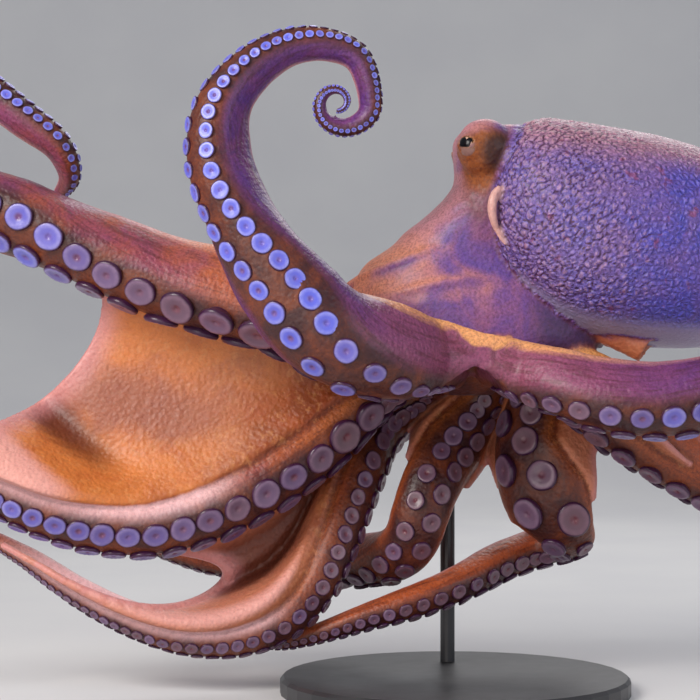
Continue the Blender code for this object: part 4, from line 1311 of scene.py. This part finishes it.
def web_colour(look, mottle):
    """Orange, dark towards the mouth and pink towards the rim, with painted highlight on the
    rolls by the arm below and painted shade in creases, hollows and across the inside web's
    middle.
    """
    colour = look.layer(WEB_ORANGE, WEB_DEEP, look.waver("along", mottle, 0.5),
                        0.2, 0.72, 0.95, 0)
    colour = look.layer(colour, RUST, look.noise(17, 3, 0.55, warp=0.3), 0.45, 0.72, 0, 0.45)
    colour = look.layer(colour, WEB_TAN, look.noise(4.5, 3, 0.65, warp=0.4), 0.5, 0.7, 0, 0.4)
    across = look.waver("up", mottle, 0.3)
    # painted shade across the middle of the inside web
    middle = look.times(look.step(across, 0.2, 0.35), look.step(across, 0.45, 0.75, 1, 0))
    shaded = look.times(look.times("inner", look.step("along", 0.35, 0.7)), 0.7)
    colour = look.mix(look.times(middle, shaded), colour, WEB_MIDDLE_SHADE)
    dusky = look.times(look.step("inner", 0.1, 0.9, 1, 0), look.step("along", 0.2, 0.8))
    colour = look.mix(look.times(dusky, 0.5), colour, WEB_DUSK)
    colour = look.layer(colour, WEB_PINK, "along", 0.9, 1.0, 0, 0.3)
    # painted highlight on the web's rolls, painted shade in the creases between them and in its
    # hollows
    colour = look.layer(colour, WEB_PINK, "fold", 0.4, 1.0, 0, 0.9)
    colour = look.layer(colour, WEB_SHADE, "fold", -0.8, -0.15, 0.9, 0)
    colour = look.layer(colour, WEB_SHADE, "hollow", 0.5, 3.0, 0, 0.7)
    return look.mix(look.times("rim", 0.75), colour, PINK)


def mantle_colour(look, mottle, cobbles):
    """Blue violet sides, a pink top, painted shade in the creases between its pebbles, painted
    highlight on their tops and ridges, and a pale belly.
    """
    colour = look.layer(MANTLE_BLUE, MANTLE_MAUVE, mottle, 0.35, 0.7)
    # a tan tone towards the front
    colour = look.mix(look.times("front", 0.22), colour, MANTLE_TAN_AND_HIGHLIGHT)
    colour = look.layer(colour, MANTLE_PINK, look.waver("crown_of_mantle", mottle, 0.6),
                        0.2, 1.0)
    # painted shade in the creases between the cobbles
    thin = look.times(look.step(cobbles, 0.02, 0.2, 1, 0),
                      look.step("front", 0.0, 0.9, 0.42, 0.35))
    colour = look.mix(thin, colour, MANTLE_CREASE_SHADE)
    # painted highlight on the cobbles' tops
    colour = look.layer(colour, MANTLE_TAN_AND_HIGHLIGHT, cobbles, 0.2, 0.5, 0, 0.2)
    colour = look.layer(colour, MANTLE_SPOT, look.noise(8, 2, 0.6), 0.62, 0.74, 0, 0.6)
    # painted shade in the skin's creases and painted highlight on its ridges
    colour = look.layer(colour, MANTLE_CREASE_SHADE, "crease", -0.02, 0.16, 0, 0.8)
    colour = look.layer(colour, MANTLE_TAN_AND_HIGHLIGHT, "crease", -0.2, -0.05, 0.35, 0)
    colour = look.mix("belly", colour, MANTLE_BELLY)
    return look.mix("rim", colour, LIP_CREAM)


def head_colour(look, mottle):
    """Violet sides; painted highlight, mauve high up and orange lower down, where the head faces
    up and to the left and on its ridges; painted shade in its hollows and under the mantle; and a
    brown patch round each eye, darkened behind it partly by painted shadow.
    """
    colour = look.layer(HEAD_VIOLET, HEAD_PURPLE, mottle, 0.35, 0.7)
    # painted highlight where the head faces up and to the left and on its ridges
    pink = look.layer(HIGHLIGHT_MAUVE, HIGHLIGHT_PINK, look.waver("slope", mottle, 0.6), 0.1, 0.9)
    colour = look.layer(colour, pink, look.waver("highlight_up_left", mottle, 0.9), 0.05, 0.9)
    colour = look.layer(colour, pink, "hollow", -3.0, 0.0, 0.5, 0)
    # painted shade in the head's hollows
    colour = look.layer(colour, HEAD_SHADE, "hollow", 0.3, 4.0, 0, 0.6)
    colour = look.layer(colour, CHEEK_BROWN, "cheek", 0.2, 0.8, 0, 0.65)
    # painted shadow under the mantle
    colour = look.layer(colour, HEAD_SHADE, "under", 0.1, 0.9, 0, 0.75)
    colour = look.layer(colour, EYE_AMBER, look.waver("patch", mottle, 0.5), 0.12, 0.5)
    # darker brown behind each eye, partly its own colour and partly painted shadow; then painted
    # shade in creases near the eyes
    colour = look.layer(colour, EYE_BROWN_AND_SHADE, look.waver("shade", mottle, 0.4), 0.15, 0.7)
    colour = look.layer(colour, EYE_BROWN_AND_SHADE, "crease", 0.0, 0.2, 0, 0.3)
    colour = look.mix(look.times("bags", 0.7), colour, BAG_GREY)
    return look.mix("lids", colour, LID_CREAM)


def skin_colour(look, mottle, streak, cobbles, grain, plain):
    """The colours of arms, webs, head and mantle, with fine dark grain over them, painted
    highlight on the flanks that face the webs and painted shade in the creases.
    """
    colour = arm_colour(look, mottle, streak)
    colour = look.layer(colour, web_colour(look, mottle), "webbed", 0.02, 0.4)
    # painted highlight on the flanks of R1 and R2 that face their webs
    colour = look.layer(colour, SIDE_HIGHLIGHT_PINK, look.waver("pale", mottle, 0.3), 0.1, 0.9, 0, 0.9)
    oral = look.layer(ORAL_BROWN, ORAL_ORANGE, mottle, 0.35, 0.7)
    colour = look.mix("oral", colour, oral)
    colour = look.mix("head", colour, head_colour(look, mottle))
    colour = look.mix("mantle", colour, mantle_colour(look, mottle, cobbles))
    # less grain and fewer freckles on the webs and on the painted highlight
    bare = look.times(look.step("web", 0.2, 0.9, 1, 0.3), look.step("pale", 0.2, 0.9, 1, 0.4))
    dark = look.times(look.step(grain, 0.3, 0.62, 0.42, 0), look.times(plain, bare))
    colour = look.mix(dark, colour, GRAIN_DARK)
    freckles = look.times(look.step(look.cells(2.1), 0.08, 0.36, 0.3, 0), bare)
    colour = look.mix(look.times(freckles, plain), colour, STREAK_BROWN)
    # painted shade in every crease
    return look.layer(colour, WEB_SHADE, "crease", 0.05, 0.3, 0, 0.6)


def skin_relief(look, streak, cobbles, grain, plain):
    """Relief too fine for the mesh: cobbles, wrinkles across the arms, and grain."""
    around = look.node("CombineXYZ", {"X": "run", "Y": look.times("turn", 0.22), "Z": "warm"})
    wrinkle = look.noise(2.2, 3, 0.55, vector=around.outputs[0])
    pebble = look.cells(2.4, "SMOOTH_F1", look.warped(3, 1.0))
    normal = look.bump(pebble, 0.55, plain)
    normal = look.bump(look.step(cobbles, 0.0, 0.42), 0.85, look.times("mantle", plain), normal)
    outer = look.step("oral", 0.2, 0.8, 0.5, 0.12)
    normal = look.bump(wrinkle, 0.9, look.times("arm", outer), normal)
    normal = look.bump(streak, 0.8, look.times("arm", 0.35), normal)
    normal = look.bump(grain, 0.22, 0.8, normal)
    lumps = look.noise(5.5, 3, 0.6, warp=0.4)
    return look.bump(lumps, 1.2, look.times("web", 0.4), normal)


def skin_look():
    """Wet, soft skin whose colours follow the parts of the body, with painted highlight and
    painted shade.
    """
    look = Look("octopus_skin")
    mottle = look.noise(24, 5, 0.6, warp=0.6)
    path = look.node("CombineXYZ", {"X": look.times("run", 0.12), "Y": "turn", "Z": "warm"})
    streak = look.noise(3.2, 4, 0.6, vector=path.outputs[0])
    cobbles = look.cells(3.6, "DISTANCE_TO_EDGE", look.warped(4, 1.6))
    grain = look.noise(1.5, 4, 0.65)
    plain = look.step("belly", 0, 0.8, 1, 0.3)
    colour = skin_colour(look, mottle, streak, cobbles, grain, plain)
    normal = skin_relief(look, streak, cobbles, grain, plain)
    roughness = look.maths("ADD", look.step(mottle, 0.2, 0.8, 0.38, 0.54),
                           look.times("head", 0.14))
    return look.finish(colour, roughness, normal, Subsurface_Weight=0.08,
                       Subsurface_Radius=(1.0, 0.35, 0.25), Subsurface_Scale=0.004,
                       Coat_Weight=0.18, Coat_Roughness=0.26, Specular_IOR_Level=0.38)


CUP_BLUE = (0.13, 0.15, 0.72)
CUP_GREY = (0.165, 0.085, 0.115)
CUP_RIM_GREY_HIGHLIGHT = (0.26, 0.14, 0.19)
CUP_WALL_DARK_AND_SHADE = (0.05, 0.010, 0.045)
CUP_EYE = (0.20, 0.045, 0.06)
CUP_RIM_BLUE_HIGHLIGHT = (0.34, 0.36, 0.86)
CUP_DIM = (0.6, 0.5, 0.6)
IRIS_BROWN = (0.10, 0.032, 0.012)
IRIS_TAN = (0.36, 0.17, 0.07)
IRIS_PALE = (0.28, 0.16, 0.15)
IRIS_EDGE = (0.22, 0.10, 0.07)
PUPIL_BLACK = (0.002, 0.002, 0.004)
COAT_BLACK = (0.022, 0.023, 0.026)
COAT_GREY = (0.038, 0.038, 0.042)
FLOOR_GREY = (0.70, 0.70, 0.71)
FLOOR_PALE = (0.74, 0.74, 0.74)


def sucker_look():
    """Smooth cups, blue violet or grey, with a patchy painted highlight on their outer part, a
    dark foot that is partly their own rim and partly painted shadow, and a faint darker middle.
    """
    look = Look("octopus_suckers")
    mottle = look.noise(4, 3, 0.6)
    # a patchy painted highlight on the outer part of each cup
    pale = look.times(look.step("out", 0.45, 0.8), look.step(mottle, 0.3, 0.7, 0.3, 0.8))
    colour = look.mix(pale, look.mix("blue", CUP_GREY, CUP_BLUE),
                      look.mix("blue", CUP_RIM_GREY_HIGHLIGHT, CUP_RIM_BLUE_HIGHLIGHT))
    middle = look.times(look.step("out", 0.1, 0.42, 1, 0), look.step("chance", 0, 1, 0.25, 0.75))
    colour = look.mix(middle, colour, CUP_EYE)
    # dark foot and wall, partly the cup's own dark rim and partly painted shadow where it meets
    # the arm
    colour = look.layer(colour, CUP_WALL_DARK_AND_SHADE, "level", 0.34, 0.47, 1, 0)
    dimmer = look.mix(1.0, colour, CUP_DIM, "MULTIPLY")
    colour = look.layer(colour, dimmer, "chance", 0.0, 1.0, 0.0, 0.4)
    normal = look.bump(look.noise(1.2, 3, 0.6), 0.1, 0.7)
    return look.finish(colour, look.step(mottle, 0.2, 0.8, 0.3, 0.42), normal,
                       Subsurface_Weight=0.1, Subsurface_Radius=(0.6, 0.5, 1.0),
                       Subsurface_Scale=0.002, Coat_Weight=0.3, Coat_Roughness=0.2,
                       Specular_IOR_Level=0.4)


def eye_look():
    """A brown iris with a wide black pupil, paler below, under a wet surface."""
    look = Look("octopus_eye")
    high = look.maths("SUBTRACT", "upright", 0.2)
    pupil = look.maths("ADD", look.maths("POWER", look.times("across", 1.7), 4.0),
                       look.maths("POWER", look.times(high, 2.7), 2.0))
    fleck = look.noise(1.5, 4, 0.7)
    colour = look.layer(IRIS_BROWN, IRIS_TAN, fleck, 0.3, 0.7)
    colour = look.layer(colour, IRIS_PALE, "upright", -0.35, 0.0, 0.8, 0)
    colour = look.layer(colour, IRIS_EDGE, "ahead", 0.5, 0.72, 1, 0)
    colour = look.layer(colour, PUPIL_BLACK, pupil, 0.8, 1.15, 1, 0)
    return look.finish(colour, 0.25, look.bump(fleck, 0.08, 0.4), Coat_Weight=0.12,
                       Coat_Roughness=0.08, Specular_IOR_Level=0.2)


def stand_look():
    """Satin black powder coat."""
    look = Look("stand_coat")
    grain = look.noise(0.9, 3, 0.6)
    smudge = look.noise(45, 3, 0.6)
    colour = look.layer(COAT_BLACK, COAT_GREY, smudge, 0.3, 0.7)
    return look.finish(colour, look.step(smudge, 0.25, 0.75, 0.36, 0.5),
                       look.bump(grain, 0.06, 0.6), Coat_Weight=0.15, Coat_Roughness=0.3)


def studio_look():
    look = Look("studio_floor")
    colour = look.layer(FLOOR_GREY, FLOOR_PALE, look.noise(220, 3, 0.5), 0.3, 0.7)
    return look.finish(colour, 0.75)


# ---------------------------------------------------------------- eyes, studio, camera
EYEBALL_RADIUS = 0.985 * EYE_RADIUS    # a little inside the solid's
EYE_LEVELS, EYE_SIDES = 40, 56


def make_eye(hand, name, material):
    """An eyeball that knows, at each point, how far it is from the line of sight."""
    centre, gaze, level, upright = eye_axes(hand)
    rings = []
    for i in range(1, EYE_LEVELS):
        tilt = math.pi * i / EYE_LEVELS
        middle = centre - EYEBALL_RADIUS * math.cos(tilt) * gaze
        rings.append(circle(middle, level, upright, EYEBALL_RADIUS * math.sin(tilt), EYE_SIDES))
    points, faces = tube(rings)
    mesh = bpy.data.meshes.new(name)
    mesh.from_pydata([tuple(float(c) * MM for c in p) for p in points], [], faces)
    mesh.update()
    way = (np.array(points) - centre) / EYE_RADIUS
    for label, axis in (("across", level), ("upright", upright), ("ahead", gaze)):
        store(mesh, label, way @ axis)
    mesh.shade_smooth()
    mesh.materials.append(material)
    return show(name, mesh)


def make_studio():
    """A pale floor that curves up into a backdrop."""
    outline = [(-4.0, 0.0)] + [(y, 0.0) for y in np.linspace(-3.0, 1.4, 12)]
    outline += [(1.4 + 1.2 * math.sin(a), 1.2 - 1.2 * math.cos(a))
                for a in np.linspace(0.1, math.pi / 2, 16)]
    outline += [(2.6, 5.0)]
    verts = [(x, y, z - 0.0002) for y, z in outline for x in (-6.0, 6.0)]
    faces = [(2 * i, 2 * i + 1, 2 * i + 3, 2 * i + 2) for i in range(len(outline) - 1)]
    mesh = bpy.data.meshes.new("studio")
    mesh.from_pydata(verts, [], faces)
    mesh.update()
    mesh.shade_smooth()
    mesh.materials.append(studio_look())
    show("studio", mesh)


# Soft lamps: where, what they point at, size, power and colour.
LAMPS = {"key": ((-1.1, -1.15, 1.15), (0.0, 0.0, 0.22), 0.9, 29, (1.0, 0.95, 0.90)),
         "fill": ((1.5, -1.4, 0.8), (0.05, 0.0, 0.2), 1.3, 9, (0.84, 0.89, 1.0)),
         "rim": ((0.35, 1.15, 1.2), (-0.02, 0.0, 0.25), 1.1, 8, (1.0, 0.97, 0.95)),
         "low": ((-0.6, -1.5, 0.2), (-0.1, 0.0, 0.12), 1.0, 5, (1.0, 0.90, 0.82))}


def make_lamps():
    """Four soft lamps and an even sky."""
    for name, (place, aim, size, power, colour) in LAMPS.items():
        lamp = bpy.data.lights.new(name, "AREA")
        lamp.shape = "DISK"
        lamp.size = size
        lamp.energy = power
        lamp.color = colour
        holder = bpy.data.objects.new(name, lamp)
        holder.location = place
        turn = (Vector(aim) - Vector(place)).to_track_quat("-Z", "Y")
        holder.rotation_euler = turn.to_euler()
        bpy.context.scene.collection.objects.link(holder)
    world = bpy.data.worlds.new("studio_air")
    world.use_nodes = True
    sky = world.node_tree.nodes["Background"]
    sky.inputs["Color"].default_value = (0.86, 0.9, 1.0, 1)
    sky.inputs["Strength"].default_value = 0.32
    bpy.context.scene.world = world


CAMERA_AT = (-0.063, -1.3, 0.205)
VIEW_WIDE = 0.42       # what the camera takes in, side to side, in the plane y = 0


def make_camera():
    """A level camera that looks along +Y."""
    camera = bpy.data.cameras.new("camera")
    camera.sensor_width = 36
    camera.lens = 36 * -CAMERA_AT[1] / VIEW_WIDE
    holder = bpy.data.objects.new("camera", camera)
    holder.location = CAMERA_AT
    holder.rotation_euler = (math.pi / 2, 0, 0)
    bpy.context.scene.collection.objects.link(holder)
    bpy.context.scene.camera = holder


def main():
    noise.seed_set(SEED)
    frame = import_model()
    bpy.context.scene.view_settings.view_transform = "Standard"
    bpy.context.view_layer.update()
    flesh_nodes = [name for name in frame["nodes"] if not name.startswith(("eye_", "stand_"))]
    arms = {name: Arm(spec) for name, spec in ARMS.items()}

    parts = gather_flesh(arms)
    mesh = merged(parts)
    dress_skin(mesh, parts)
    mesh.materials.clear()
    mesh.materials.append(skin_look())
    skin = show("skin", mesh)
    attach(skin, "root")
    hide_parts(*flesh_nodes)

    cups = sucker_look()
    for name, arm in arms.items():
        suckers = make_suckers(name, arm, cups)
        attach(suckers, "root")

    wet = eye_look()
    for hand, side in ((-1, "left"), (1, "right")):
        ball = make_eye(hand, f"eyeball_{side}", wet)
        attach(ball, "root")
        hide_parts(f"eye_{side}")

    coat = stand_look()
    for name in ("stand_base", "stand_rod"):
        node = frame["nodes"][name]
        node.data.materials.clear()
        node.data.materials.append(coat)

    make_studio()
    make_lamps()
    make_camera()


main()
